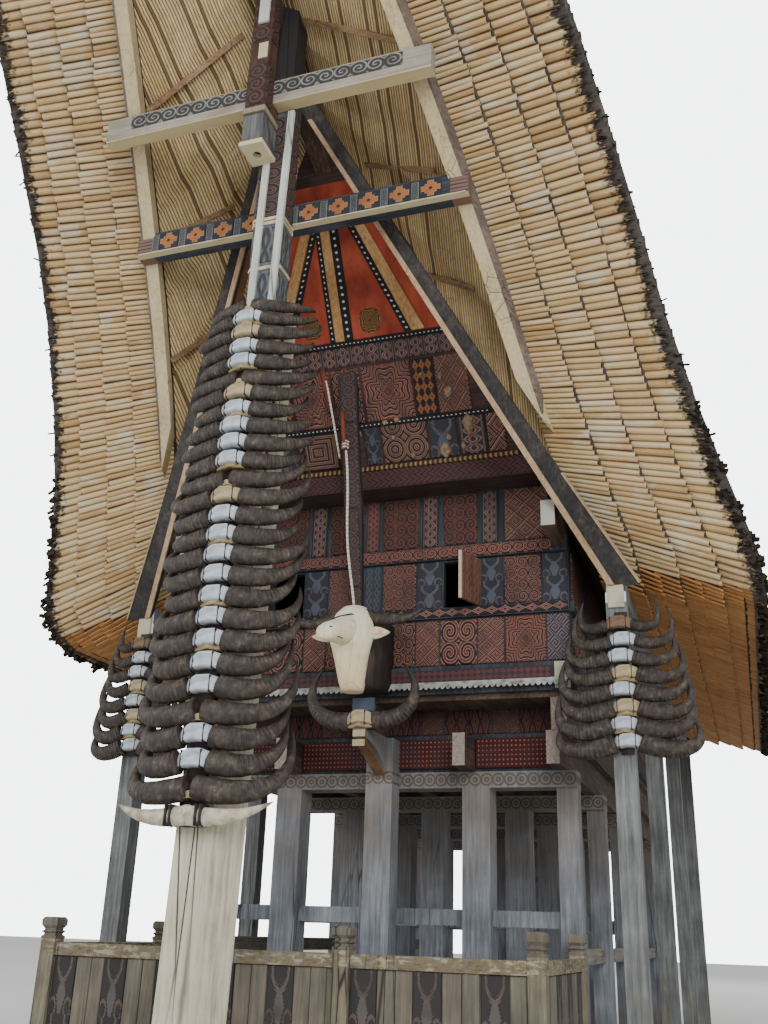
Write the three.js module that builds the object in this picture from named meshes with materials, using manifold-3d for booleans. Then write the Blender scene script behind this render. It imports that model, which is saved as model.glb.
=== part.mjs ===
// A tongkonan: a raised timber house under a boat-shaped roof of layered split bamboo.
// Millimetres, +Z up. The front gable faces -Y, and the origin is on the ground under the middle
// of the house. "reach" is a distance from the middle of the house towards either gable.
import * as THREE from "three";
import { mergeVertices } from "three/addons/utils/BufferGeometryUtils.js";
import Module from "manifold-3d";

const wasm = await Module();
wasm.setup();

// Driving dimensions

const SEAT = 0.3; // clearance between a piece and the one it is cut to fit
const HALF_PLAN = 1850; // half width of the raised room, outside
const WALL_REACH = 3950; // outer face of the gable walls
const WALL_THICK = 80;

// Posts under the house: five rows of four, with a free centre post in front of the first row.
const POST = 250;
const CORNER_POST = 180;
const POST_X = [900, 1700];
const ROW_REACH = 3425;
const ROW_PITCH = ROW_REACH / 2;
const CAP_BOTTOM = 2320;
const CAP_TOP = 2460;
const TIE_BOTTOM = 1180;
const TIE_HEIGHT = 130;
const TIE_THICK = 60;
const LONG_TIE_BOTTOM = 900;
const CENTRE_POST = { x: [-65, 185], reach: [3550, 3760] };
const ARM = { x: [20, 130], tip: 4350, tipDepth: 90, foot: 2380 };

// Bearers, joists and floor
const BEARER_X = [0, 840, 1660];
const BEARER_WIDTH = 110;
const BEARER_TOP = 2740;
const BEARER_REACH = 3930;
const JOIST_X = [0, 1720];
const JOIST_WIDTH = 130;
const JOIST_REACH = 3940;
const FLOOR_BOTTOM = 3020;
const FLOOR_TOP = 3070;
const APRON_REACH = 3500;
const APRON_THICK = 40;
const RAIL_TOP = 2780;

// Walls
const SILL_TOP = 3320;
const ROPE_RAIL = [3765, 3860];
const SPIRAL_RAIL = [4330, 4460];
const WALL_TOP = 5000;
const RAIL_PROUD = 40;
const WINDOW_X = [700, 1030];
const WINDOW_Z = [3860, 4310];
const SHUTTER_THICK = 28;
const SHUTTER_ANGLE = 70;

// Leaning gable: its field, the barge rafters in front of it, and the beams of the prow
const LEAN = 0.6; // forward run for each unit of rise
const GABLE_FOOT = { reach: 4230, z: 5230 };
const GABLE_BEAM_BOTTOM = 5000;
// The carved post in front of the middle of the gable: rows of height, reach of its face, half width
const LEANING_POST = [[3640, 4180, 52], [4040, 4232, 52], [4750, 4405, 85], [5550, 4600, 78], [6040, 4724, 95]];
const LEANING_POST_X = -55;
const LEANING_POST_THICK = 60;
const RAFTER_FOOT = { reach: 4190, z: 3880, x: 2230 };
const RAFTER_APEX_Z = 7800;
const RAFTER_TOP_Z = 7980;
const RAFTER_WIDTH = 290;
const RAFTER_THICK = 60;
const VERGE_WIDTH = 120;
const VERGE_HEIGHT = 210;
const LOWER_CROSSBEAM = { halfX: 1520, reach: [6080, 6220], z: [6600, 6820] };
const UPPER_CROSSBEAM = { halfX: 1430, reach: [6880, 6990], z: [7200, 7430] };

// The great post under the prow: it leans a little, and its head stands upright
const PROW_POST_REACH = 6800;
const PROW_POST_RADIUS = 240;
const PROW_POST_FLAT = PROW_POST_RADIUS * Math.cos(Math.PI / 6);
const PROW_POST_SHOULDER = 5300;
const PROW_POST_LEAN = { across: 0.02, inward: 0.012 };
const PROW_POST_HEAD = { x: [-15, 225], reach: [6690, 6877] };
const BLOCK = { x: [-55, 115], reach: 7125, z: [6690, 8300], heel: 6890 };

// Roof. Each row is reach, half width, height.
const EAVE = [
  [0, 3480, 3720],
  [3700, 3480, 3720],
  [4150, 3460, 3900],
  [4650, 3180, 4760],
  [5200, 2930, 5620],
  [5900, 2720, 6600],
  [6960, 2440, 7570],
  [8400, 1980, 8560],
  [9900, 1440, 9380],
];
const VERGE = [
  [0, 2150, 4100],
  [3700, 2150, 4100],
  [4100, 2110, 4380],
  [4450, 1990, 4760],
  [5240, 1740, 5820],
  [5900, 1560, 6640],
  [7050, 1250, 7800],
  [8400, 860, 8900],
  [9900, 380, 9900],
];
const STATIONS = [0, 1250, 2500, 3700, 3950, 4200, 4500, 4850, 5240, 5700, 6200, 6700, 7250, 7850, 8500, 9200, 9900];
const ROOF_SPLIT = 3700;
const RIDGE_MIDDLE = 7300;
const RIDGE_TIP = 10600;
const RIDGE_POWER = 2.2;
const RIDGE_THICK = 330;
const EAVE_THICK = 140;
const EAVE_COURSES = 4;
const COURSE_RISE = 80;
const ROOF_WAIST = 0.55; // where the slope of the top changes, as a share of its half width
const ROOF_SAG = 0.08; // how far it sags there, as a share of its rise
const COVER_COURSES = 8; // courses of covers on the top, from the eave to the cap of the ridge
const COVER_STEP = 50;
const RIDGE_CAP = 150; // half width of the cap
const SOFFIT_THICK = 25;
const SOFFIT_GAP = 3;
const SOFFIT_START = 4200;
const RIDGE_BEAM = { halfWidth: 80, depth: 330 };

// Purlins and the side posts that carry the eaves
const PLATE = { x: [1720, 1840], z: [4370, 4600], reach: 4520 };
const EAVE_PURLIN = { x: [2200, 2340], depth: 170, reach: 4170 };
const SIDE_POST = { x: [2190, 2360], depth: 170 };
const SIDE_POST_REACH = [1370, 4090];

// Porch fence in front of the posts
const FENCE = { left: -2010, right: 1770, reach: 5350, top: 960, board: 30, rail: 90, railZ: [870, 960] };
const FENCE_BACK = 3640;
const NEWEL = 120;
const NEWEL_TOP = 1140;

const HEAD_X = 45; // the buffalo head hangs a little to the right of the middle

// Working shapes

const tidy = (geometry) => {
  geometry.deleteAttribute("normal");
  geometry.deleteAttribute("uv");
  return mergeVertices(geometry, 1e-3);
};

// A closed three.js geometry as a solid, turned the right way out.
function solidOf(geometry) {
  const merged = tidy(geometry);
  const triVerts = new Uint32Array(merged.index.array);
  const vertProperties = new Float32Array(merged.attributes.position.array);
  let solid = new wasm.Manifold(new wasm.Mesh({ numProp: 3, vertProperties, triVerts }));
  if (solid.volume() < 0) {
    for (let i = 0; i < triVerts.length; i += 3) triVerts.subarray(i, i + 2).reverse();
    solid = new wasm.Manifold(new wasm.Mesh({ numProp: 3, vertProperties, triVerts }));
  }
  return solid;
}

function geometryOf(solid) {
  const { numProp, vertProperties, triVerts } = solid.getMesh();
  const position = new Float32Array((vertProperties.length / numProp) * 3);
  for (let i = 0; i < position.length / 3; i++) {
    position.set(vertProperties.subarray(i * numProp, i * numProp + 3), i * 3);
  }
  return new THREE.BufferGeometry()
    .setAttribute("position", new THREE.BufferAttribute(position, 3))
    .setIndex(new THREE.BufferAttribute(new Uint32Array(triVerts), 1));
}

const moved = (solid, matrix) => solidOf(geometryOf(solid).applyMatrix4(matrix));
const shifted = (solid, x, y, z) => moved(solid, new THREE.Matrix4().makeTranslation(x, y, z));
const mirroredX = (solid) => moved(solid, new THREE.Matrix4().makeScale(-1, 1, 1));
const mirroredY = (solid) => moved(solid, new THREE.Matrix4().makeScale(1, -1, 1));
const join = (solids) => solids.reduce((all, one) => all.add(one));
const cut = (solid, ...cutters) => cutters.reduce((left, one) => left.subtract(one), solid);

function box([x0, x1], [y0, y1], [z0, z1]) {
  const geometry = new THREE.BoxGeometry(x1 - x0, y1 - y0, z1 - z0);
  return solidOf(geometry.translate((x0 + x1) / 2, (y0 + y1) / 2, (z0 + z1) / 2));
}

// The same box with its seat clearance all round, to cut a neighbour with.
function roomy([x0, x1], [y0, y1], [z0, z1]) {
  return box([x0 - SEAT, x1 + SEAT], [y0 - SEAT, y1 + SEAT], [z0 - SEAT, z1 + SEAT]);
}

// The end of a loft, as triangles that run the same way round as the ring itself.
function capOf(ring, [across, up]) {
  const flat = ring.map((p) => new THREE.Vector2(p[across], p[up]));
  const area = THREE.ShapeUtils.area(flat);
  const triangles = THREE.ShapeUtils.triangulateShape(flat, []);
  const turn = triangles.reduce((sum, [a, b, c]) => sum + THREE.ShapeUtils.area([flat[a], flat[b], flat[c]]), 0);
  return triangles.map(([a, b, c]) => (turn * area > 0 ? [a, b, c] : [c, b, a]));
}

// A skin over rings of points that all have the same number of corners, closed at both ends.
function loft(rings, plane = ["x", "z"]) {
  const corners = rings[0].length;
  const last = (rings.length - 1) * corners;
  const index = [];
  for (let start = 0; start < last; start += corners) {
    for (let i = 0; i < corners; i++) {
      const a = start + i;
      const b = start + ((i + 1) % corners);
      index.push(a, b, a + corners, b, b + corners, a + corners);
    }
  }
  for (const [a, b, c] of capOf(rings[0], plane)) index.push(c, b, a);
  for (const [a, b, c] of capOf(rings.at(-1), plane)) index.push(a + last, b + last, c + last);
  return solidOf(new THREE.BufferGeometry().setFromPoints(rings.flat()).setIndex(index));
}

// An outline in the leaning plane of a gable: x across, and distance up the slope.
function leaning(outline, thickness, foot) {
  const shape = new THREE.Shape(outline.map(([x, w]) => new THREE.Vector2(x, w)));
  const geometry = new THREE.ExtrudeGeometry(shape, { depth: thickness, bevelEnabled: false });
  geometry.translate(0, 0, -thickness);
  geometry.rotateX(Math.PI / 2 + Math.atan(LEAN));
  return solidOf(geometry.translate(0, -foot.reach, foot.z));
}
const slopeLength = (rise) => rise * Math.hypot(1, LEAN);

// A cubic through the rows of a table that never overshoots them.
function through(rows, reach, column) {
  const secant = (i) => (rows[i + 1][column] - rows[i][column]) / (rows[i + 1][0] - rows[i][0]);
  const slope = (i) => {
    if (i === 0) return secant(0);
    if (i === rows.length - 1) return secant(i - 1);
    const [before, after] = [secant(i - 1), secant(i)];
    return before * after > 0 ? (2 * before * after) / (before + after) : 0;
  };
  const end = rows.findIndex((row) => row[0] >= reach);
  const i = Math.max(end, 1) - 1;
  const span = rows[i + 1][0] - rows[i][0];
  const u = (reach - rows[i][0]) / span;
  return (
    rows[i][column] * (2 * u ** 3 - 3 * u ** 2 + 1) +
    slope(i) * span * (u ** 3 - 2 * u ** 2 + u) +
    rows[i + 1][column] * (3 * u ** 2 - 2 * u ** 3) +
    slope(i + 1) * span * (u ** 3 - u ** 2)
  );
}

// Roof sections

const eaveAt = (reach) => ({ x: through(EAVE, reach, 1), z: through(EAVE, reach, 2) });
const vergeAt = (reach) => ({ x: through(VERGE, reach, 1), z: through(VERGE, reach, 2) });
const ridgeAt = (reach) =>
  RIDGE_MIDDLE + (RIDGE_TIP - RIDGE_MIDDLE) * (reach / STATIONS.at(-1)) ** RIDGE_POWER;
const ceilingAt = (reach) => ridgeAt(reach) - RIDGE_THICK;
// Fall of the underside for each unit out from the ridge, inside the verge.
const pitchAt = (reach) => (ceilingAt(reach) - vergeAt(reach).z) / vergeAt(reach).x;
const stationsBetween = (from, to) => STATIONS.filter((reach) => reach >= from && reach <= to);

// Half a section of the roof: ridge underside, verge, stepped courses of the eaves, then the courses
// of covers on the top, each with its foot over the head of the one below.
function roofSection(reach) {
  const eave = eaveAt(reach);
  const verge = vergeAt(reach);
  const fall = (verge.z - eave.z + (EAVE_COURSES - 1) * COURSE_RISE) / EAVE_COURSES;
  const points = [[0, ceilingAt(reach)], [verge.x, verge.z]];
  for (let course = 1; course <= EAVE_COURSES; course++) {
    const x = verge.x + ((eave.x - verge.x) * course) / EAVE_COURSES;
    const z = points.at(-1)[1] - fall;
    points.push([x, z]);
    if (course < EAVE_COURSES) points.push([x, z + COURSE_RISE]);
  }
  const top = eave.z + EAVE_THICK;
  const rise = ridgeAt(reach) - top;
  const waist = [eave.x * ROOF_WAIST, top + rise * (1 - ROOF_WAIST - ROOF_SAG)];
  const topAt = (x) =>
    x > waist[0]
      ? top + ((waist[1] - top) * (eave.x - x)) / (eave.x - waist[0])
      : ridgeAt(reach) + ((waist[1] - ridgeAt(reach)) * x) / waist[0];
  points.push([eave.x, top]);
  for (let course = 1; course <= COVER_COURSES; course++) {
    const x = eave.x + ((RIDGE_CAP - eave.x) * course) / COVER_COURSES;
    points.push([x, topAt(x) - COVER_STEP / 2], [x, topAt(x) + COVER_STEP / 2]);
  }
  points.push([0, ridgeAt(reach)]);
  return points;
}

// The height of the underside of the inmost eaves course over a given half width.
function underCourse(reach, x) {
  const [, [x0, z0], [x1, z1]] = roofSection(reach);
  return z0 + ((z1 - z0) * (x - x0)) / (x1 - x0);
}

const alongRoof = (reaches, ring) =>
  loft(reaches.map((reach) => ring(reach).map(([x, z]) => new THREE.Vector3(x, -reach, z))));

function roofShell(from, to) {
  return alongRoof(stationsBetween(from, to), roofSection);
}

// Everything above a surface that runs a given drop below the underside of the roof.
function above(from, to, drop) {
  const sky = RIDGE_TIP + 1000;
  const right = alongRoof(stationsBetween(from, to), (reach) => {
    const { x, z } = vergeAt(reach);
    return [[0, ceilingAt(reach) - drop], [x, z - drop], [x, sky], [0, sky]];
  });
  return right.add(mirroredX(right));
}

// The strip below the verge of the roof that the verge rafters take, on the right.
function vergeStrip(from, to) {
  return alongRoof(stationsBetween(from, to), (reach) => {
    const { x, z } = vergeAt(reach);
    const inner = x - VERGE_WIDTH - SEAT;
    return [[inner, z - 1000], [x + 10, z - 1000], [x + 10, z + 1000], [inner, z + 1000]];
  });
}

// The thin sheet that lines the roof between the verge rafters.
function soffitSheet() {
  const [from, to] = [SOFFIT_START, STATIONS.at(-1)];
  const strip = vergeStrip(from, to);
  const sheet = cut(above(from, to, SOFFIT_GAP + SOFFIT_THICK), above(from, to, SOFFIT_GAP));
  return cut(sheet, strip, mirroredX(strip));
}

// The ridge beam, or with a clearance round it the room that it takes.
function ridgeBeam(extra) {
  const x = RIDGE_BEAM.halfWidth + extra;
  const half = alongRoof(STATIONS, (reach) => {
    const top = ceilingAt(reach);
    const bottom = top - RIDGE_BEAM.depth - extra;
    return [[-x, bottom], [-x, top], [x, top], [x, bottom]];
  });
  return half.add(mirroredY(half));
}

// Substructure

const corners = [-POST_X[1], POST_X[1]];
const tieRoom = corners.map((x) =>
  roomy([x - TIE_THICK / 2, x + TIE_THICK / 2], [-3700, 3700], [LONG_TIE_BOTTOM, LONG_TIE_BOTTOM + TIE_HEIGHT]),
);

// One row across the house: posts, the tie through them and the cap beam on their heads.
function postRow(y, inner) {
  const half = POST / 2;
  const posts = inner.map((x) => box([x - half, x + half], [y - half, y + half], [0, CAP_BOTTOM]));
  const slim = CORNER_POST / 2;
  for (const x of corners) posts.push(box([x - slim, x + slim], [y - slim, y + slim], [0, CAP_BOTTOM]));
  const end = POST_X[1] + slim;
  const tie = box([-end, end], [y - TIE_THICK / 2, y + TIE_THICK / 2], [TIE_BOTTOM, TIE_BOTTOM + TIE_HEIGHT]);
  const cap = box([-end, end], [y - half, y + half], [CAP_BOTTOM, CAP_TOP]);
  return cut(join([...posts, tie, cap]), ...tieRoom);
}

const longTie = (x) =>
  box([x - TIE_THICK / 2, x + TIE_THICK / 2], [-3640, 3640], [LONG_TIE_BOTTOM, LONG_TIE_BOTTOM + TIE_HEIGHT]);

// The free centre post, with the arm that reaches forward from its head under the middle joist.
function centrePost() {
  const [back, front] = CENTRE_POST.reach;
  const post = box(CENTRE_POST.x, [-front, -back], [0, BEARER_TOP]);
  const side = new THREE.Shape();
  side.moveTo(back, ARM.foot - 60);
  side.lineTo(front, ARM.foot);
  side.quadraticCurveTo(front + 130, BEARER_TOP - 130, ARM.tip, BEARER_TOP - ARM.tipDepth);
  side.lineTo(ARM.tip, BEARER_TOP);
  side.lineTo(back, BEARER_TOP);
  const depth = ARM.x[1] - ARM.x[0];
  const arm = new THREE.ExtrudeGeometry(side, { depth, bevelEnabled: false, curveSegments: 6 });
  arm.rotateX(Math.PI / 2).rotateZ(-Math.PI / 2).translate(ARM.x[1], 0, 0);
  return post.add(solidOf(arm));
}

const bearerReach = (x) => (x === 0 ? ROW_REACH + 100 : BEARER_REACH);
const bearer = (x) =>
  box([x - BEARER_WIDTH / 2, x + BEARER_WIDTH / 2], [-bearerReach(x), bearerReach(x)], [CAP_TOP, BEARER_TOP]);

function floorFrame() {
  const joists = [0, ...corners.map((x) => Math.sign(x) * JOIST_X[1])].map((x) =>
    box([x - JOIST_WIDTH / 2, x + JOIST_WIDTH / 2], [-JOIST_REACH, JOIST_REACH], [BEARER_TOP, FLOOR_BOTTOM]),
  );
  for (const x of [-BEARER_X[1], BEARER_X[1]]) {
    joists.push(
      box([x - BEARER_WIDTH / 2, x + BEARER_WIDTH / 2], [-3440, 3440], [BEARER_TOP, FLOOR_BOTTOM]),
    );
  }
  const boards = box([-HALF_PLAN + 5, HALF_PLAN - 5], [-JOIST_REACH, JOIST_REACH], [FLOOR_BOTTOM, FLOOR_TOP]);
  return join([boards, ...joists]);
}

// Carved boards that close the floor frame over the first row, on the right of the middle joist.
function apron() {
  const from = JOIST_WIDTH / 2 + SEAT;
  const to = JOIST_X[1] - JOIST_WIDTH / 2 - SEAT;
  const face = [-APRON_REACH - APRON_THICK, -APRON_REACH];
  const board = box([from, to], face, [CAP_TOP, FLOOR_BOTTOM]);
  const rail = box([from, to], [face[0] - 25, face[1]], [BEARER_TOP, RAIL_TOP]);
  const room = BEARER_X.map((x) =>
    roomy([x - BEARER_WIDTH / 2, x + BEARER_WIDTH / 2], [-BEARER_REACH, 0], [CAP_TOP, BEARER_TOP]),
  );
  return cut(board.add(rail), ...room);
}

// Walls

const frontSky = above(0, STATIONS.at(-1), SOFFIT_GAP + SOFFIT_THICK + SEAT);
const sky = frontSky.add(mirroredY(frontSky));
const ridgeRoom = ridgeBeam(SEAT);
const inner = WALL_REACH - WALL_THICK;
const wallPlate = (side) => {
  const [x0, x1] = PLATE.x.map((x) => x * side).sort((a, b) => a - b);
  return cut(box([x0, x1], [-PLATE.reach, PLATE.reach], PLATE.z), sky);
};
const plateRoom = [-1, 1].map((side) => {
  const x = PLATE.x.map((value) => value * side).sort((a, b) => a - b);
  return roomy(x, [-PLATE.reach, PLATE.reach], PLATE.z);
});

function gableWall(openings) {
  const across = [-HALF_PLAN, HALF_PLAN];
  const wall = box(across, [-WALL_REACH, -inner], [FLOOR_TOP, WALL_TOP]);
  const rails = [[FLOOR_TOP, SILL_TOP], ROPE_RAIL, SPIRAL_RAIL].map((z) =>
    box(across, [-WALL_REACH - RAIL_PROUD, -WALL_REACH], z),
  );
  const holes = openings.flatMap((side) => {
    const x = WINDOW_X.map((value) => value * side).sort((a, b) => a - b);
    return [box(x, [-WALL_REACH - 100, -inner + 100], WINDOW_Z)];
  });
  return cut(join([wall, ...rails]), ...holes, ...plateRoom, sky);
}

function sideWall(side) {
  const x = [HALF_PLAN - WALL_THICK, HALF_PLAN].map((value) => value * side).sort((a, b) => a - b);
  const proud = [HALF_PLAN, HALF_PLAN + RAIL_PROUD].map((value) => value * side).sort((a, b) => a - b);
  const wall = box(x, [-inner, inner], [FLOOR_TOP, PLATE.z[0]]);
  const sill = box(proud, [-WALL_REACH, WALL_REACH], [FLOOR_TOP, SILL_TOP]);
  const rail = box(proud, [-WALL_REACH, WALL_REACH], ROPE_RAIL);
  return join([wall, sill, rail]);
}

// The leaning upper gable on its beam over the wall.
function upperGable() {
  const beam = box(
    [-HALF_PLAN, HALF_PLAN],
    [-GABLE_FOOT.reach - 20, -inner],
    [GABLE_BEAM_BOTTOM, GABLE_FOOT.z],
  );
  const top = slopeLength(8100 - GABLE_FOOT.z);
  const field = leaning([[-1700, -40], [1700, -40], [550, top], [-550, top]], 60, GABLE_FOOT);
  return cut(beam.add(field), ridgeRoom, sky);
}

// It stands on the neck of the buffalo head and leans with its top against the gable.
function leaningPost(neck) {
  const ring = ([z, reach, half]) => [
    new THREE.Vector3(LEANING_POST_X - half, -reach, z),
    new THREE.Vector3(LEANING_POST_X + half, -reach, z),
    new THREE.Vector3(LEANING_POST_X + half, -reach + LEANING_POST_THICK, z),
    new THREE.Vector3(LEANING_POST_X - half, -reach + LEANING_POST_THICK, z),
  ];
  const post = loft(LEANING_POST.map(ring), ["x", "y"]);
  const field = leaning([[-1700, -40], [1700, -40], [1700, 2000], [-1700, 2000]], 800, {
    reach: GABLE_FOOT.reach + SEAT * 2,
    z: GABLE_FOOT.z,
  });
  return cut(post, field, neck, shifted(neck, 0, 0, SEAT));
}

function shutter(side) {
  const width = WINDOW_X[1] - WINDOW_X[0] - 4;
  const geometry = new THREE.BoxGeometry(width, SHUTTER_THICK, WINDOW_Z[1] - WINDOW_Z[0] - 4);
  geometry.translate(-width / 2, -SHUTTER_THICK / 2, (WINDOW_Z[0] + WINDOW_Z[1]) / 2);
  geometry.rotateZ(THREE.MathUtils.degToRad(SHUTTER_ANGLE));
  geometry.translate(WINDOW_X[1] + 4, -WALL_REACH - SEAT, 0);
  const right = solidOf(geometry);
  return side > 0 ? right : mirroredX(right);
}

// Rafters, prow beams and the post under the prow

const purlinTop = underCourse(0, EAVE_PURLIN.x[1]) - SEAT;
const purlinZ = [purlinTop - EAVE_PURLIN.depth, purlinTop];
const purlinRoom = [-1, 1].map((side) => {
  const x = EAVE_PURLIN.x.map((value) => value * side).sort((a, b) => a - b);
  return roomy(x, [-EAVE_PURLIN.reach, 0], purlinZ);
});

function bargeOutline() {
  const apex = slopeLength(RAFTER_APEX_Z - RAFTER_FOOT.z);
  const top = slopeLength(RAFTER_TOP_Z - RAFTER_FOOT.z);
  const steepness = apex / RAFTER_FOOT.x;
  const wide = RAFTER_FOOT.x + RAFTER_WIDTH / Math.sin(Math.atan(steepness));
  const topX = wide - top / steepness;
  return [
    [RAFTER_FOOT.x, 0], [wide, 0], [topX, top], [-topX, top], [-wide, 0], [-RAFTER_FOOT.x, 0], [0, apex],
  ];
}

const bargeRafters = () =>
  cut(leaning(bargeOutline(), RAFTER_THICK, RAFTER_FOOT), ...purlinRoom, ridgeRoom);

function crossbeam({ halfX, reach, z }) {
  return box([-halfX, halfX], [-reach[1], -reach[0]], z);
}
const crossbeamRoom = ({ halfX, reach, z }) => roomy([-halfX, halfX], [-reach[1], -reach[0]], z);

// The pale rafter from the foot of the barge to the tip of the prow, on the right.
function vergeRafter() {
  const whole = alongRoof(stationsBetween(4500, STATIONS.at(-1)), (reach) => {
    const { x, z } = vergeAt(reach);
    return [
      [x - VERGE_WIDTH, z - 1], [x, z - 1], [x, z - 1 - VERGE_HEIGHT], [x - VERGE_WIDTH, z - 1 - VERGE_HEIGHT],
    ];
  });
  const behindBarge = leaning(bargeOutline(), 1500, {
    ...RAFTER_FOOT,
    reach: RAFTER_FOOT.reach + SEAT * 2,
  });
  const rest = cut(whole, behindBarge, crossbeamRoom(LOWER_CROSSBEAM), crossbeamRoom(UPPER_CROSSBEAM));
  return rest.decompose().reduce((a, b) => (a.volume() > b.volume() ? a : b));
}

// Leans what stands upright on the foot of the front post as the post leans.
function leanedWithPost(solid) {
  const { across, inward } = PROW_POST_LEAN;
  return moved(solid, new THREE.Matrix4().set(1, 0, across, 0, 0, 1, inward, 0, 0, 0, 1, 0, 0, 0, 0, 1));
}

function prowPost() {
  const sixth = Math.PI / 6;
  const [r, h] = [PROW_POST_RADIUS, PROW_POST_SHOULDER];
  const lower = new THREE.CylinderGeometry(r, r, h, 6, 1, false, sixth);
  lower.rotateX(Math.PI / 2).translate(0, -PROW_POST_REACH, h / 2);
  const [back, front] = PROW_POST_HEAD.reach;
  const head = box(PROW_POST_HEAD.x, [-front, -back], [h - 10, ridgeAt(front)]);
  return cut(leanedWithPost(solidOf(lower)).add(head), ridgeRoom, sky);
}

// The carved block that hangs from the ridge beam in front of the upper crossbeam.
function prowBlock() {
  const { x, reach, z, heel } = BLOCK;
  const back = UPPER_CROSSBEAM.reach[1] + SEAT;
  const grown = (by) => [x[0] - by, x[1] + by];
  const body = box(x, [-reach, -back], z);
  const foot = box(x, [-back - 1, -heel], [z[0], UPPER_CROSSBEAM.z[0] - SEAT]);
  const lip = box(grown(12), [-reach - 12, -heel], [z[0], z[0] + 40]);
  const ring = box(grown(10), [-reach - 10, -heel], [7010, 7060]);
  const bore = new THREE.CylinderGeometry(36, 36, 120, 12);
  bore.rotateX(Math.PI / 2).translate((x[0] + x[1]) / 2, -(reach + heel) / 2, z[0]);
  return cut(join([body, foot, lip, ring]), solidOf(bore), ridgeRoom, sky);
}

// Eaves frame: a purlin on posts along the side, on the right.
function eavesFrame() {
  const purlin = box(EAVE_PURLIN.x, [-EAVE_PURLIN.reach, EAVE_PURLIN.reach], purlinZ);
  const posts = SIDE_POST_REACH.flatMap((reach) => [-reach, reach]).map((y) =>
    box(SIDE_POST.x, [y - SIDE_POST.depth / 2, y + SIDE_POST.depth / 2], [0, purlinZ[0]]),
  );
  return join([purlin, ...posts]);
}

// Horns and heads

// One horn as a tapering five-sided horn along a curve that starts at the skull.
function horn(curve, rootRadius, steps) {
  const rings = [];
  for (let i = 0; i <= steps; i++) {
    const u = i / steps;
    const centre = curve.getPoint(u);
    const along = curve.getTangent(u).normalize();
    const side = new THREE.Vector3(0, 1, 0).cross(along).normalize();
    const up = along.clone().cross(side);
    const radius = rootRadius * (1 - 0.86 * u ** 1.3);
    rings.push(
      [0, 1, 2, 3, 4].map((k) => {
        const turn = (k * 2 * Math.PI) / 5;
        return centre
          .clone()
          .addScaledVector(side, radius * Math.cos(turn))
          .addScaledVector(up, radius * 0.8 * Math.sin(turn));
      }),
    );
  }
  return loft(rings, ["y", "z"]);
}

// A pair of horns on its skull plate, with its centre at the origin and its face to -Y.
function hornPair({ span, sweep, dip, rise, radius, plate }) {
  const curve = new THREE.CubicBezierCurve3(
    new THREE.Vector3(plate[0] * 0.3, -25, 0),
    new THREE.Vector3(span * 0.65, -50, -dip),
    new THREE.Vector3(span * 1.15, sweep * 0.2, -dip * 0.5),
    new THREE.Vector3(span * 0.9, sweep, rise),
  );
  const right = horn(curve, radius, 4);
  const skull = box([-plate[0] / 2, plate[0] / 2], [-45, 10], [-plate[1] / 2, plate[1] / 2]);
  return join([skull, right, mirroredX(right)]);
}

// Pairs of horns one over another on a board.
function hornStack({ x, reach, board, pairs }) {
  const { width, thick, z } = board;
  const backing = box([x - width / 2, x + width / 2], [-reach - thick, -reach], z);
  return join([backing, ...pairs.map((pair) => shifted(hornPair(pair), x, -reach - thick, pair.z))]);
}

// The stack of the great post: pale straight horns lowest, wide ones over them, smaller ones above.
const prowPairs = Array.from({ length: 28 }, (_, i) => {
  const z = 1714 + i * 131;
  if (i === 0) return { z, span: 520, sweep: 20, dip: 40, rise: 110, radius: 46, plate: [180, 90] };
  const span = 520 - i * 4 + 45 * Math.sin(i * 1.9);
  const sweep = 170 + i * 9;
  return { z, span, sweep, dip: 70, rise: 260 + 50 * Math.cos(i * 1.3), radius: 44, plate: [180, 100] };
});
const sidePairs = (low, span) =>
  Array.from({ length: 8 }, (_, i) => ({
    z: low + i * 139,
    span: span - 60 * Math.cos(i * 1.7),
    sweep: -20,
    dip: 110,
    rise: 290,
    radius: 46,
    plate: [150, 90],
  }));

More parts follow.
